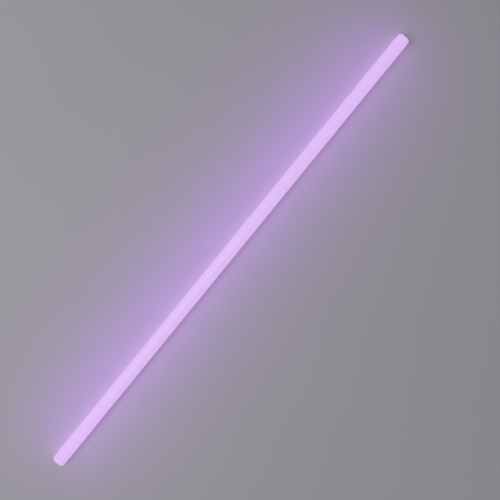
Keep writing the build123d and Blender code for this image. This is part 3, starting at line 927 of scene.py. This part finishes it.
@dataclass(frozen=True)
class DiodeBoard:
    """White-coated aluminium board: pads at each diode, two long tracks under the coat, bare edges."""

    name: str
    face: float
    last_diode: float
    coat: Colour = (0.86, 0.86, 0.83)
    track: Colour = (0.74, 0.75, 0.71)
    pad: Colour = (0.80, 0.79, 0.74)
    metal: Colour = (0.70, 0.71, 0.72)
    relief: float = 0.03 * MM

    def material(self) -> Material:
        """Makes the material: the pads repeat with the place along X over the diodes' pitch.

        Returns:
            The material.
        """
        paint = Paint(self.name, {"Coat Weight": 0.2, "Coat Roughness": 0.3})
        x, y, z = paint.axes()
        along, across = x.from_middle(DIODE_PITCH), abs(y)
        grain, cloud = paint.noise(0.2 * MM, 3), paint.noise(6 * MM, 3)
        tracks = across.inside(2.6 * MM, 3.9 * MM, 0.1 * MM) * along.ramp(10.6 * MM, 10.8 * MM, 1, 0)
        pads = along.inside(1.4 * MM, 2.4 * MM, 0.04 * MM) * across.ramp(1.15 * MM, 1.2 * MM, 1, 0)
        pads = pads * abs(x).ramp(self.last_diode + 2 * MM, self.last_diode + 3 * MM, 1, 0)
        bare = abs(z).ramp(self.face - 0.12 * MM, self.face - 0.1 * MM, 1, 0)
        coat = paint.blend(cloud, self.coat, dimmed(self.coat, 0.94))
        shown = paint.blend(pads, paint.blend(tracks, coat, self.track), self.pad)
        metal = 1 - (1 - pads) * (1 - bare)
        feeds = {
            "Base Color": paint.blend(bare, shown, self.metal),
            "Metallic": metal,
            "Roughness": 0.46 + grain * 0.12 - metal * 0.16,
        }
        return paint.finish(self.relief, grain * 0.2 + tracks * 0.5 + pads * 0.3, feeds)


@dataclass(frozen=True)
class DiodePackage:
    """White package with a lit window of violet light over its chip, and tinned contacts at its two ends."""

    name: str
    face: float
    body: Colour = (0.88, 0.87, 0.83)
    window: Colour = (0.86, 0.78, 0.36)
    light: Colour = linear(226, 150, 255)
    contact: Colour = (0.78, 0.77, 0.73)
    relief: float = 0.01 * MM

    def material(self) -> Material:
        """Makes the material: window and contacts by the place within one pitch and the height.

        Returns:
            The material.
        """
        paint = Paint(self.name, {"Emission Strength": 1.0})
        x, y, z = paint.axes()
        along, height = x.from_middle(DIODE_PITCH), abs(z) - self.face
        grain = paint.noise(0.12 * MM, 3)
        up = height.ramp(0.40 * MM, 0.45 * MM)
        window = along.ramp(1.22 * MM, 1.28 * MM, 1, 0) * abs(y).ramp(0.94 * MM, 1.0 * MM, 1, 0) * up
        contact = along.ramp(1.5 * MM, 1.54 * MM) * height.ramp(0.24 * MM, 0.28 * MM, 1, 0)
        chip = along.ramp(0.2 * MM, 0.9 * MM, 1.0, 0.35) * (0.9 + grain * 0.2)
        body = paint.blend(grain, self.body, dimmed(self.body, 0.93))
        feeds = {
            "Base Color": paint.blend(window, paint.blend(contact, body, self.contact), self.window),
            "Metallic": contact,
            "Roughness": 0.42 + grain * 0.14 - window * 0.2,
            "Emission Color": paint.tinted(self.light, window * chip),
        }
        return paint.finish(self.relief, grain, feeds)


@dataclass(frozen=True)
class CircuitBoard:
    """Green-coated glass fibre: woven cloth under the coat, and paler copper areas with lines between."""

    name: str
    coat: Colour = (0.025, 0.16, 0.075)
    copper: Colour = (0.05, 0.27, 0.12)
    thread: float = 0.45 * MM
    area: float = 4.2 * MM
    relief: float = 0.03 * MM

    def material(self) -> Material:
        """Makes the material: two crossed sines make the weave, and scattered cells the copper areas.

        Returns:
            The material.
        """
        paint = Paint(self.name, {"Coat Weight": 0.35, "Coat Roughness": 0.15})
        x, y, _ = paint.axes()
        grain, turn = paint.noise(0.15 * MM, 3), tau / self.thread
        weave = (x * turn).sine() * (y * turn).sine() * 0.5 + 0.5
        areas = paint.cells(self.area, (0.55, 1, 0.01)).ramp(0.36, 0.38, 1, 0)
        feeds = {
            "Base Color": paint.blend(areas * 0.8 + weave * 0.2, self.coat, self.copper),
            "Roughness": 0.36 + grain * 0.12 + weave * 0.04,
        }
        return paint.finish(self.relief, areas * 0.7 + weave * 0.3, feeds)


@dataclass(frozen=True)
class WoundTape:
    """Turns of tape round the X axis, each over the edge of the last, darker along the seams."""

    name: str
    colour: Colour = (0.80, 0.60, 0.10)
    seam: Colour = (0.52, 0.36, 0.05)
    pitch: float = 2.6 * MM
    relief: float = 0.05 * MM

    def material(self) -> Material:
        """Makes the material: the relief rises along each turn and drops at its edge.

        Returns:
            The material.
        """
        paint = Paint(self.name, {"Coat Weight": 0.3, "Coat Roughness": 0.2})
        x, y, z = paint.axes()
        wrinkle = paint.noise(0.5 * MM, 3, (1, 0.2, 0.2))
        turn = ((x + (y + z) * 0.08) / self.pitch).fraction()
        seam = turn.ramp(0.0, 0.06, 1, 0)
        feeds = {
            "Base Color": paint.blend(seam, self.colour, self.seam),
            "Roughness": 0.3 + wrinkle * 0.14,
        }
        return paint.finish(self.relief, turn * 0.7 + wrinkle * 0.3, feeds)


@dataclass(frozen=True)
class CanSleeve:
    """A capacitor can: shrunk sleeve with a pale stripe, bare aluminium at the far end, tinned legs."""

    name: str
    box: tuple[Vector, Vector]
    sleeve: Colour = (0.02, 0.03, 0.07)
    stripe: Colour = (0.45, 0.46, 0.48)
    metal: Colour = (0.78, 0.79, 0.80)
    leg_run: float = 1.5 * MM
    fold: float = 0.35 * MM
    vent: float = 0.12 * MM
    relief: float = 0.06 * MM

    def material(self) -> Material:
        """Makes the material: sleeve between the two folds, stripe on the -Y side, vent cross on the end.

        Returns:
            The material.
        """
        paint = Paint(self.name, {"Coat Roughness": 0.12})
        low, high = self.box
        x, y, z = paint.axes()
        radius, rise = high.y, z - (high.z - high.y)
        grain, sag = paint.noise(0.2 * MM, 3), paint.noise(3 * MM, 3, (0.3, 1, 1))
        covered = x.inside(low.x + self.leg_run, high.x - self.fold, 0.02 * MM)
        striped = abs(rise).ramp(0.22 * radius, 0.24 * radius, 1, 0) * y.ramp(-0.1 * radius, 0, 1, 0)
        bars = 1 - abs(y).ramp(0, self.vent) * abs(rise).ramp(0, self.vent)
        vent = bars * x.ramp(high.x - 0.1 * MM, high.x - 0.05 * MM)
        feeds = {
            "Base Color": paint.blend(covered, self.metal, paint.blend(striped, self.sleeve, self.stripe)),
            "Metallic": 1 - covered,
            "Coat Weight": covered * 0.5,
            "Roughness": 0.26 + grain * 0.1 + covered * sag * 0.1,
        }
        return paint.finish(self.relief, sag * covered * 0.6 + grain * 0.1 - vent * 0.4, feeds)


# Shapes of what is inside


@dataclass(frozen=True)
class RoundWire:
    """Round wire, or an insulated lead with a bare conductor at each end."""

    radius: float
    bend: float
    bare: float = 0.0
    conductor_share: float = 0.5
    step: float = 0.04 * MM
    sides: int = 20

    def surface(self, corners: Sequence[Point], across: Point = (0, 1, 0)) -> Surface:
        """Carries the wire's circle along its bent path; the radius steps down where it is bare.

        Args:
            corners: the path's corners, which the bend radius rounds.
            across: a direction that the path never runs along.

        Returns:
            The points and the quads.
        """
        path = rounded(corners, [self.bend] * (len(corners) - 2), 8)
        place = np.r_[0, np.cumsum(np.linalg.norm(np.diff(path, axis=0), axis=1))]
        radius = np.full(len(place), self.radius)
        if self.bare:
            cuts = self.bare + np.array([-self.step, self.step])
            stations = np.unique(np.r_[place, cuts, place[-1] - cuts])
            path = np.stack([np.interp(stations, place, column) for column in path.T], axis=1)
            stripped = np.minimum(stations, stations[-1] - stations) < self.bare
            radius = np.where(stripped, self.conductor_share, 1.0) * self.radius
        angle = np.arange(self.sides) * tau / self.sides
        circle = np.stack([np.cos(angle), np.sin(angle)], axis=1)
        return along_path(path, circle * radius[:, None, None], across)


def inset(node: str, low: Point, high: Point) -> tuple[Vector, Vector]:
    """A node's box with each side moved inwards, in millimetres."""
    start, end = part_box(node)
    return start + Vector(low) * MM, end - Vector(high) * MM


@dataclass
class Leads:
    """The five insulated leads, round and smooth, with stripped ends."""

    wire: RoundWire = RoundWire(0.65 * MM, 2.3 * MM, 1.2 * MM)
    straight: float = 2.4 * MM
    entries: tuple[float, float] = (0.6 * MM, 2.5 * MM)
    input_offset: float = 1.2 * MM

    def input_path(self, level: int) -> list[Point]:
        """Corners from a live pin into the spine and onto the driver board.

        Args:
            level: 1 for the upper pin, -1 for the lower.

        Returns:
            The corners.
        """
        side = "upper" if level > 0 else "lower"
        low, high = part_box(f"input_lead_{side}")
        pin_low, pin_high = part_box(f"pin_a_{side}")
        pin_z, lead_z = (pin_low.z + pin_high.z) / 2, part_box("driver_board")[1].z + self.wire.radius
        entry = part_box("diffuser_tube")[0].x + self.entries[(level + 1) // 2]
        y = level * self.input_offset
        return [(low.x, 0, pin_z), (low.x + self.straight, 0, pin_z), (entry, y, lead_z), (high.x, y, lead_z)]

    def output_path(self, side: str) -> list[Point]:
        """Corners from the driver board's end through the spine to a diode board.

        Args:
            side: top or bottom.

        Returns:
            The corners.
        """
        low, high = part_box(f"output_lead_{side}")
        lead_z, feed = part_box("driver_board")[1].z + self.wire.radius, high.x - self.wire.radius
        y, far = (low.y + high.y) / 2, (high.z if side == "top" else low.z)
        return [(low.x, y, lead_z), (feed, y, lead_z), (feed, y, far)]

    def link_path(self) -> list[Point]:
        """Corners of the lead at the dead end, from the top board round to the bottom one.

        Returns:
            The corners.
        """
        low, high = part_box("board_link")
        turn, level = high.x - self.wire.radius, high.z - self.wire.radius
        y = (low.y + high.y) / 2
        return [(low.x, y, level), (turn, y, level), (turn, y, -level), (low.x, y, -level)]

    def build(self) -> None:
        """Makes each lead in its insulation's colour, with bare ends where its box says."""
        step = self.wire.bare / MM
        at_low, at_top, past = (step, -1, -1), (-1, -1, step), (-1, -1, -1)
        rows = [
            ("input_lead_upper", "lead_brown", self.input_path(1), at_low, at_low),
            ("input_lead_lower", "lead_blue", self.input_path(-1), at_low, at_low),
            ("output_lead_top", "lead_red", self.output_path("top"), at_low, at_top),
            ("output_lead_bottom", "lead_black", self.output_path("bottom"), (step, -1, step), past),
            ("board_link", "lead_white", self.link_path(), at_low, past),
        ]
        for node, slot, path, low, high in rows:
            colour, body = LEAD_COLOURS[slot], inset(node, low, high)
            shade = dimmed(colour, 0.8)
            finish = Moulding(slot, colour, shade, 0.45, 0.4 * MM, stretch=(0.3, 1, 1), body=body)
            mesh = new_mesh(node, self.wire.surface(path))
            add_piece(f"round_{node}", mesh, finish.material(), [node])


@dataclass
class DiodeRow:
    """Surface-mounted diodes with bevelled bodies, cut corners and a sunken window."""

    half_length: float = 1.75 * MM
    bevel: float = 0.1 * MM
    frame_width: float = 0.45 * MM
    sink: float = 0.18 * MM
    corner: float = 0.25 * MM

    def ring(self, half_x: float, half_y: float, height: float) -> list[Point]:
        """A rectangle with cut corners at a height.

        Args:
            half_x, half_y: half its length and width.
            height: its Z.

        Returns:
            Its eight corners.
        """
        cut = min(self.corner, half_x, half_y)
        quarter = [(half_x, half_y - cut), (half_x - cut, half_y)]
        turned_on = [*quarter, *((-x, y) for x, y in quarter[::-1])]
        return [(x, y, height) for x, y in [*turned_on, *((-x, -y) for x, y in turned_on)]]

    def build(self, node: str, finish: Material) -> None:
        """Sets one diode at each pitch over the node's box.

        Args:
            node: the row's node.
            finish: its material.
        """
        low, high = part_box(node)
        base, top = sorted((abs(low.z), abs(high.z)))
        wide, deep, bevel, floor = self.half_length, high.y, self.bevel, top - self.sink
        window = (wide - self.frame_width, deep - self.frame_width)
        rows = [(0, 0, base), (wide, deep, base), (wide, deep, top - 3 * bevel)]
        rows += [(wide - bevel, deep - bevel, top), (*window, top)]
        rows += [(window[0] - bevel, window[1] - bevel, floor), (0, 0, floor)]
        rings = [self.ring(*row) for row in rows]
        points = np.array(rings).reshape(-1, 3) * (1, 1, 1 if high.z > 0 else -1)
        count = round((high.x - low.x - 2 * wide) / DIODE_PITCH) + 1
        faces = grid_faces(len(rings), len(rings[0]))
        middles = np.linspace(low.x + wide, high.x - wide, count)
        mesh = new_mesh(node, *((points + (x, 0, 0), faces) for x in middles))
        add_piece(node.replace("leds", "diodes"), mesh, finish, [node])


@dataclass
class DriverParts:
    """The driver's leaded and flat parts, each drawn in its node's box, with its foot on the board."""

    leg: RoundWire = RoundWire(0.3 * MM, 0.5 * MM, sides=12)
    leg_inset: float = 0.3 * MM
    leg_run: float = 1.5 * MM
    can_leg_offset: float = 1.25 * MM
    can_dip: float = 0.35 * MM
    can_rim: float = 0.1 * MM
    can_segments: int = 56
    varistor_leg_offset: float = 1.9 * MM
    film_leg_offset: float = 3.75 * MM
    film_edge: float = 0.45 * MM
    fuse_swell: float = 1.8 * MM
    fuse_slope: float = 0.6 * MM
    fuse_segments: int = 48
    coil_wire: RoundWire = RoundWire(0.26 * MM, 0.4 * MM, sides=12)
    coil_turns: int = 7
    coil_leg_offset: float = 1.5 * MM
    coil_drop: float = 0.8 * MM
    core_half_width: float = 1.0 * MM
    gull_reach: float = 1.0 * MM
    gull_knee: float = 0.4 * MM
    gull_bend: float = 0.15 * MM
    gull_half_width: float = 0.2 * MM
    gull_half_thickness: float = 0.1 * MM
    package_edge: float = 0.12 * MM

    def can(self, node: str) -> list[Surface]:
        """An electrolytic capacitor: a sunken bung, a crimp round the can, and two legs bent down.

        Args:
            node: its node.

        Returns:
            Its surfaces.
        """
        low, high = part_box(node)
        radius, start, end, rim = high.y, low.x + self.leg_run, high.x, self.can_rim
        axis_z, dip, foot = high.z - radius, self.can_dip, low.x + self.leg_inset
        corners = [(start + dip, 0), (start + dip, 0.62 * radius), (start, 0.68 * radius)]
        corners += [(start, radius - rim), (start + 1.2 * MM, radius), (start + 1.7 * MM, radius - dip)]
        corners += [(start + 2.2 * MM, radius), (end, radius), (end, 0.9 * radius)]
        corners += [(end - rim, 0.86 * radius), (end - rim, 0)]
        radii = [0, 0.1 * MM, *[0.3 * MM] * 4, 0.25 * MM, 0, 0]
        parts = [turned(rounded(corners, radii, 5), (0, 0, axis_z), self.can_segments)]
        for y in (-self.can_leg_offset, self.can_leg_offset):
            leg = [(start + 2 * dip, y, axis_z), (foot, y, axis_z), (foot, y, low.z)]
            parts.append(self.leg.surface(leg))
        return parts

    def fuse(self, node: str) -> list[Surface]:
        """A wound fuse resistor with swollen ends and one leg that runs through it and down at both ends.

        Args:
            node: its node.

        Returns:
            Its surfaces.
        """
        low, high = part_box(node)
        radius, start, end, axis_z = high.y, low.x + self.leg_run, high.x - self.leg_run, high.z - high.y
        swell, waist = self.fuse_swell, self.fuse_swell + self.fuse_slope
        corners = [(start, 0), (start, radius), (start + swell, radius), (start + waist, 0.86 * radius)]
        corners += [(end - waist, 0.86 * radius), (end - swell, radius), (end, radius), (end, 0)]
        profile = rounded(corners, [0.6 * MM, *[0.5 * MM] * 4, 0.6 * MM], 6)
        body = turned(profile, (0, 0, axis_z), self.fuse_segments)
        left, right = low.x + self.leg_inset, high.x - self.leg_inset
        leg = [(left, 0, low.z), (left, 0, axis_z), (right, 0, axis_z), (right, 0, low.z)]
        return [body, self.leg.surface(leg)]

    def upright(self, offsets: Iterable[tuple[float, float]], top: float, foot: float) -> list[Surface]:
        """Straight legs at places (x, y), from a height inside the part down to its foot."""
        return [self.leg.surface([(x, y, top), (x, y, foot)]) for x, y in offsets]

    def varistor(self, node: str) -> list[Surface]:
        """A coated disc, swollen in the middle, on two legs.

        Args:
            node: its node.

        Returns:
            Its surfaces.
        """
        low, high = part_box(node)
        radius, centre_z, middle = high.y, high.z - high.y, (low.x + high.x) / 2
        corners = [(low.x, 0), (low.x, 0.7 * radius), (low.x + 0.5 * MM, radius), (high.x - 0.5 * MM, radius)]
        corners += [(high.x, 0.7 * radius), (high.x, 0)]
        radii = [1.5 * MM, 0.9 * MM, 0.9 * MM, 1.5 * MM]
        offsets = [(middle, side * self.varistor_leg_offset) for side in (-1, 1)]
        disc = turned(rounded(corners, radii, 7), (0, 0, centre_z))
        return [disc, *self.upright(offsets, centre_z, low.z)]

    def film(self, node: str) -> list[Surface]:
        """A box capacitor with rounded edges on two legs.

        Args:
            node: its node.

        Returns:
            Its surfaces.
        """
        low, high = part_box(node)
        foot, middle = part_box("driver_board")[1].z, (low.x + high.x) / 2
        offsets = [(middle + side * self.film_leg_offset, 0) for side in (-1, 1)]
        case = soft_box((low.x, low.y, foot), high, self.film_edge)
        return [case, *self.upright(offsets, foot + MM, low.z)]

    def coil(self, node: str) -> list[Surface]:
        """Enamelled wire wound round one long side of the choke's core, with both ends led down as legs.

        Each turn has four corners round the core's section, and X rises by a quarter of the turns' pitch
        from each corner to the next.

        Args:
            node: its node.

        Returns:
            Its surface.
        """
        low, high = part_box(node)
        core_low, core_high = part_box("choke_core")
        radius, middle_y, middle_x = self.coil_wire.radius, (low.y + high.y) / 2, (low.x + high.x) / 2
        half, bottom, top = self.core_half_width + radius, core_low.z - radius, core_high.z + radius
        loop = [(half, bottom), (half, top), (-half, top), (-half, bottom)] * self.coil_turns
        wound = zip(np.linspace(low.x + radius, high.x - radius, len(loop)), loop)
        left, right = middle_x - self.coil_leg_offset, middle_x + self.coil_leg_offset
        path = [(left, middle_y, low.z), (left, middle_y, bottom - self.coil_drop)]
        path += [(x, middle_y + y, z) for x, (y, z) in wound]
        path += [(right, middle_y, bottom - self.coil_drop), (right, middle_y, low.z)]
        return [self.coil_wire.surface(path, (1, 0, 0))]

    def flat_package(self, node: str, count: int, pitch: float) -> list[Surface]:
        """A moulded package with rows of legs that leave it half way up and bend down to the board.

        Args:
            node: its node.
            count: how many legs a side has.
            pitch: how far apart they are.

        Returns:
            Its surfaces.
        """
        low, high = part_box(node)
        thick, wide, half = self.gull_half_thickness, self.gull_half_width, high.y - self.gull_reach
        parts = [soft_box((low.x, -half, low.z + 2 * thick), (high.x, half, high.z), self.package_edge)]
        knee, level, foot = half + self.gull_knee, (low.z + high.z) / 2, low.z + thick
        section = np.array([(wide, thick), (-wide, thick), (-wide, -thick), (wide, -thick)])
        for place in (np.arange(count) - (count - 1) / 2) * pitch + (low.x + high.x) / 2:
            for side in (-1, 1):
                row = [(half - thick, level), (knee, level), (knee, foot), (high.y, foot)]
                corners = [(place, side * y, z) for y, z in row]
                parts.append(along_path(rounded(corners, [self.gull_bend] * 2, 4), section, (1, 0, 0)))
        return parts

    def build(self) -> None:
        """Makes every part with its finish; its legs are tinned where they leave its body."""
        over_board, open_side = (-1, -1, 1.9), (-1, -1, -1)
        between_legs = inset("fuse_resistor", (1.5, -1, -1), (1.5, -1, -1))
        resistor = Moulding("resistor_coat", (0.20, 0.38, 0.32), (0.14, 0.29, 0.25), 0.5, body=between_legs)
        disc_box, case_box = (inset(node, over_board, open_side) for node in ("varistor", "film_capacitor"))
        disc = Moulding("varistor_coat", (0.03, 0.07, 0.30), (0.02, 0.05, 0.22), 0.4, coat=0.3, body=disc_box)
        yellow, shade = (0.80, 0.60, 0.05), (0.72, 0.52, 0.04)
        case = Moulding("film_capacitor_case", yellow, shade, 0.35, coat=0.2, body=case_box)
        copper = TurnedMetal("enamelled_copper", (0.62, 0.25, 0.10), (0.46, 0.16, 0.06), 0.18)
        rows = [
            ("fuse_resistor", "resistor_coat", self.fuse, resistor),
            ("varistor", "varistor_coat", self.varistor, disc),
            ("film_capacitor", "film_capacitor_case", self.film, case),
            ("choke_coil_left", "copper_winding", self.coil, copper),
            ("choke_coil_right", "copper_winding", self.coil, copper),
        ]
        for node in ("bulk_capacitor", "output_capacitor"):
            rows.append((node, "capacitor_can", self.can, CanSleeve(f"{node}_sleeve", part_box(node))))
        rows = [(node, slot, draw(node), finish) for node, slot, draw, finish in rows]
        for node, count, pitch in (("bridge_rectifier", 2, 2.5 * MM), ("controller_chip", 4, 1.27 * MM)):
            body = inset(node, (-1, 1, 0.1), (-1, 1, -1))
            black = Moulding(f"{node}_black", BLACK, (0.035, 0.035, 0.038), 0.6, 0.15 * MM, body=body)
            rows.append((node, "black_moulding", self.flat_package(node, count, pitch), black))
        for node, slot, parts, finish in rows:
            add_piece(f"formed_{node}", new_mesh(node, *parts), finish.material(), [node])


# Stage and camera


@dataclass
class Studio:
    """A plain pale floor, soft light from above, and the violet light that the lamp throws beside it."""

    floor_size: float = 60.0
    floor_colour: Colour = (0.76, 0.75, 0.77)
    floor_relief: float = 0.05 * MM
    sky: Colour = (0.92, 0.92, 1.0)
    sky_strength: float = 0.2
    key_power: float = 22.0
    key_size: float = 2.4
    key_place: Point = (-0.9, 1.1, 2.4)
    key_colour: Colour = (1, 0.98, 0.96)
    glow_colour: Colour = (0.46, 0.09, 1.0)
    glow_width: float = 0.02

    def floor(self) -> Object:
        """Lays the floor that the lamp rests on; from below it is clear.

        Returns:
            The floor.
        """
        level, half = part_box("diffuser_tube")[0].z, self.floor_size / 2
        mesh = bpy.data.meshes.new("floor")
        corners = [(-half, -half, level), (half, -half, level), (half, half, level), (-half, half, level)]
        mesh.from_pydata(corners, [], [(0, 1, 2, 3)])
        paint = Paint("pale_floor", {})
        cloud, grain = paint.noise(0.6, 2), paint.noise(1.5 * MM, 2)
        feeds = {
            "Base Color": paint.blend(cloud, self.floor_colour, dimmed(self.floor_colour, 0.96)),
            "Roughness": 0.62 + grain * 0.1,
        }
        mesh.materials.append(paint.finish(self.floor_relief, grain, feeds))
        behind = paint.node("ShaderNodeNewGeometry", {}, {}).outputs["Backfacing"]
        clear = paint.node("ShaderNodeBsdfTransparent", {}, {}).outputs[0]
        mixed = paint.node("ShaderNodeMixShader", {}, {0: behind, 1: paint.shader.outputs[0], 2: clear})
        paint.tree.links.new(mixed.outputs[0], paint.output.inputs["Surface"])
        floor = bpy.data.objects.new("floor", mesh)
        bpy.context.scene.collection.objects.link(floor)
        return floor

    def area_light(self, name: str, size: tuple[float, float], power: float, colour: Colour) -> Object:
        """Adds a rectangular light that the camera doesn't see.

        Args:
            name: its name.
            size: its length along X and along Y.
            power: in watts.
            colour: its colour.

        Returns:
            The light, at the origin and shining down.
        """
        data = bpy.data.lights.new(name, "AREA")
        data.shape, data.size, data.size_y = "RECTANGLE", *size
        data.energy, data.color = power, colour
        lamp = bpy.data.objects.new(name, data)
        bpy.context.scene.collection.objects.link(lamp)
        lamp.visible_camera = False
        return lamp

    def light(self, floor: Object) -> None:
        """Lights the room softly and throws the lamp's violet light onto the floor alone.

        Args:
            floor: what the violet light falls on.
        """
        world = bpy.data.worlds.new("sky")
        world.use_nodes = True
        sky = world.node_tree.nodes["Background"]
        sky.inputs["Color"].default_value = (*self.sky, 1)
        sky.inputs["Strength"].default_value = self.sky_strength
        bpy.context.scene.world = world
        key = self.area_light("key", (self.key_size, self.key_size), self.key_power, self.key_colour)
        key.location = self.key_place
        key.rotation_mode = "QUATERNION"
        key.rotation_quaternion = (-Vector(self.key_place)).to_track_quat("-Z", "Y")
        receivers = bpy.data.collections.new("lit_by_glow")
        receivers.objects.link(floor)
        reach = 2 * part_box("end_cap_b")[1].x
        beams = {
            "glow_near_left": (0.045, 0.05, 0.05),
            "glow_near_right": (-0.045, 0.05, 0.02),
            "glow_wide_left": (0.05, 0.14, 0.26),
            "glow_wide_right": (-0.06, 0.14, 0.08),
        }
        for name, (aside, height, power) in beams.items():
            beam = self.area_light(name, (reach, self.glow_width), power, self.glow_colour)
            beam.location = (0, aside, height)
            beam.light_linking.receiver_collection = receivers


@dataclass
class PhotoCamera:
    """The photo's camera: it looks down on the lamp, with the dead end at the upper right and nearer."""

    dead_end_px: tuple[float, float] = (405.3, 36.2)
    live_end_px: tuple[float, float] = (56.6, 463.6)
    focal_px: float = 700.0
    turn: float = radians(50.76)
    tilt: float = radians(1.5)
    rim_height: float = 12 * MM

    def basis(self) -> np.ndarray:
        """The camera's right, up and backward directions, one to a row.

        The lamp's axis, seen square to the view, is turned from the picture's horizontal by turn, and the
        view leans by tilt from straight down towards the live end.

        Returns:
            A 3 by 3 array.
        """
        along, aside = np.array([cos(self.tilt), 0, -sin(self.tilt)]), np.array([0, 1, 0])
        right = cos(self.turn) * along - sin(self.turn) * aside
        up = sin(self.turn) * along + cos(self.turn) * aside
        return np.stack([right, up, (sin(self.tilt), 0, cos(self.tilt))])

    def place(self) -> np.ndarray:
        """Where the camera stands for both ends of the lamp to fall on their places in the picture.

        With q the point in camera axes, u = -f qx / qz and v = -f qy / qz. Both are linear in the
        camera's place, so the two ends give four equations for three numbers, solved by least squares.
        Seen from above, an end's outline is its upper rim, so that is the point.

        Returns:
            The camera's place.
        """
        basis, rows, values = self.basis(), [], []
        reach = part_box("end_cap_b")[1].x
        for end, pixel in ((reach, self.dead_end_px), (-reach, self.live_end_px)):
            point = np.array([end, 0, self.rim_height])
            for axis, offset in zip(basis, (pixel[0] - PHOTO_SIDE / 2, PHOTO_SIDE / 2 - pixel[1])):
                row = self.focal_px * axis + offset * basis[2]
                rows.append(row)
                values.append(row @ point)
        place, misfit, _, _ = np.linalg.lstsq(np.array(rows), np.array(values), rcond=None)
        log.info("camera at %s, misfit %s", place, misfit)
        return place

    def build(self) -> None:
        """Puts the camera into the scene."""
        data = bpy.data.cameras.new("camera")
        data.sensor_fit, data.sensor_width = "HORIZONTAL", SENSOR_WIDTH
        data.lens = self.focal_px / PHOTO_SIDE * SENSOR_WIDTH
        camera = bpy.data.objects.new("camera", data)
        bpy.context.scene.collection.objects.link(camera)
        camera.matrix_world = Matrix.Translation(self.place()) @ Matrix(self.basis().T.tolist()).to_4x4()
        bpy.context.scene.camera = camera
        bpy.context.scene.view_settings.view_transform = "Standard"


def dress_rest(brass: Material) -> None:
    """Gives each node that keeps its own shape the finish of its stuff.

    Args:
        brass: the finish of the strap between the dead end's pins.
    """
    face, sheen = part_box("led_board_top")[1].z, (0.04, 0.04, 0.042)
    board = DiodeBoard("white_diode_board", face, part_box("leds_top")[1].x).material()
    tape = Moulding("thermal_tape", (0.62, 0.63, 0.60), (0.54, 0.55, 0.53), 0.75, 0.25 * MM).material()
    ferrite_colours = (0.035, 0.035, 0.04), (0.06, 0.06, 0.065)
    ferrite = Moulding("ferrite", *ferrite_colours, 0.62, 0.12 * MM, 0.02 * MM).material()
    film = Moulding("insulating_film", (0.70, 0.67, 0.55), (0.62, 0.59, 0.48), 0.28, 1.5 * MM, coat=0.4)
    bobbin_body = inset("transformer_bobbin", (-1, -1, 1.9), (-1, -1, -1))
    diode_body = inset("output_diode", (0.5, -1, -1), (0.5, -1, -1))
    finishes = {
        "pin_bridge": brass,
        "spine": Extruded("spine_aluminium").material(),
        "thermal_tape_top": tape,
        "thermal_tape_bottom": tape,
        "led_board_top": board,
        "led_board_bottom": board,
        "driver_board": CircuitBoard("circuit_board").material(),
        "driver_sleeve": film.material(),
        "choke_core": ferrite,
        "transformer_core_front": ferrite,
        "transformer_core_rear": ferrite,
        "transformer_bobbin": Moulding("bobbin_black", BLACK, sheen, 0.55, body=bobbin_body).material(),
        "transformer_winding": WoundTape("winding_tape").material(),
        "output_diode": Moulding("diode_black", BLACK, sheen, 0.55, body=diode_body).material(),
    }
    for node, finish in finishes.items():
        dress_node(node, finish)


def main() -> None:
    """Builds the lamp's sub-assemblies in order, then the stage and the camera."""
    logging.basicConfig(level=logging.INFO, format="%(message)s", force=True)
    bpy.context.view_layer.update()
    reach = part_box("end_cap_b")[1].x
    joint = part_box("diffuser_tube")[1].x
    Tube().build(OpalGlow("opal_tube_glow", reach, joint))
    cap_glow = OpalGlow("opal_cap_glow", reach, joint).material()
    brass = TurnedMetal("pin_brass", (0.83, 0.67, 0.36), (0.72, 0.56, 0.28)).material()
    steel = TurnedMetal("zinc_plated_steel", (0.82, 0.84, 0.87), (0.68, 0.70, 0.73), 0.3).material()
    for end in End:
        EndCap().build(end, cap_glow)
    for node in ("pin_a_upper", "pin_a_lower", "pin_b_upper", "pin_b_lower"):
        ContactPin().build(node, reach, brass)
    CapScrews().build(steel)
    Leads().build()
    DriverParts().build()
    for node in ("leds_top", "leds_bottom"):
        face = min(abs(corner.z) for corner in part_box(node))
        DiodeRow().build(node, DiodePackage(f"{node}_package", face).material())
    dress_rest(brass)
    studio = Studio()
    studio.light(studio.floor())
    PhotoCamera().build()


if __name__ == "__main__":
    main()
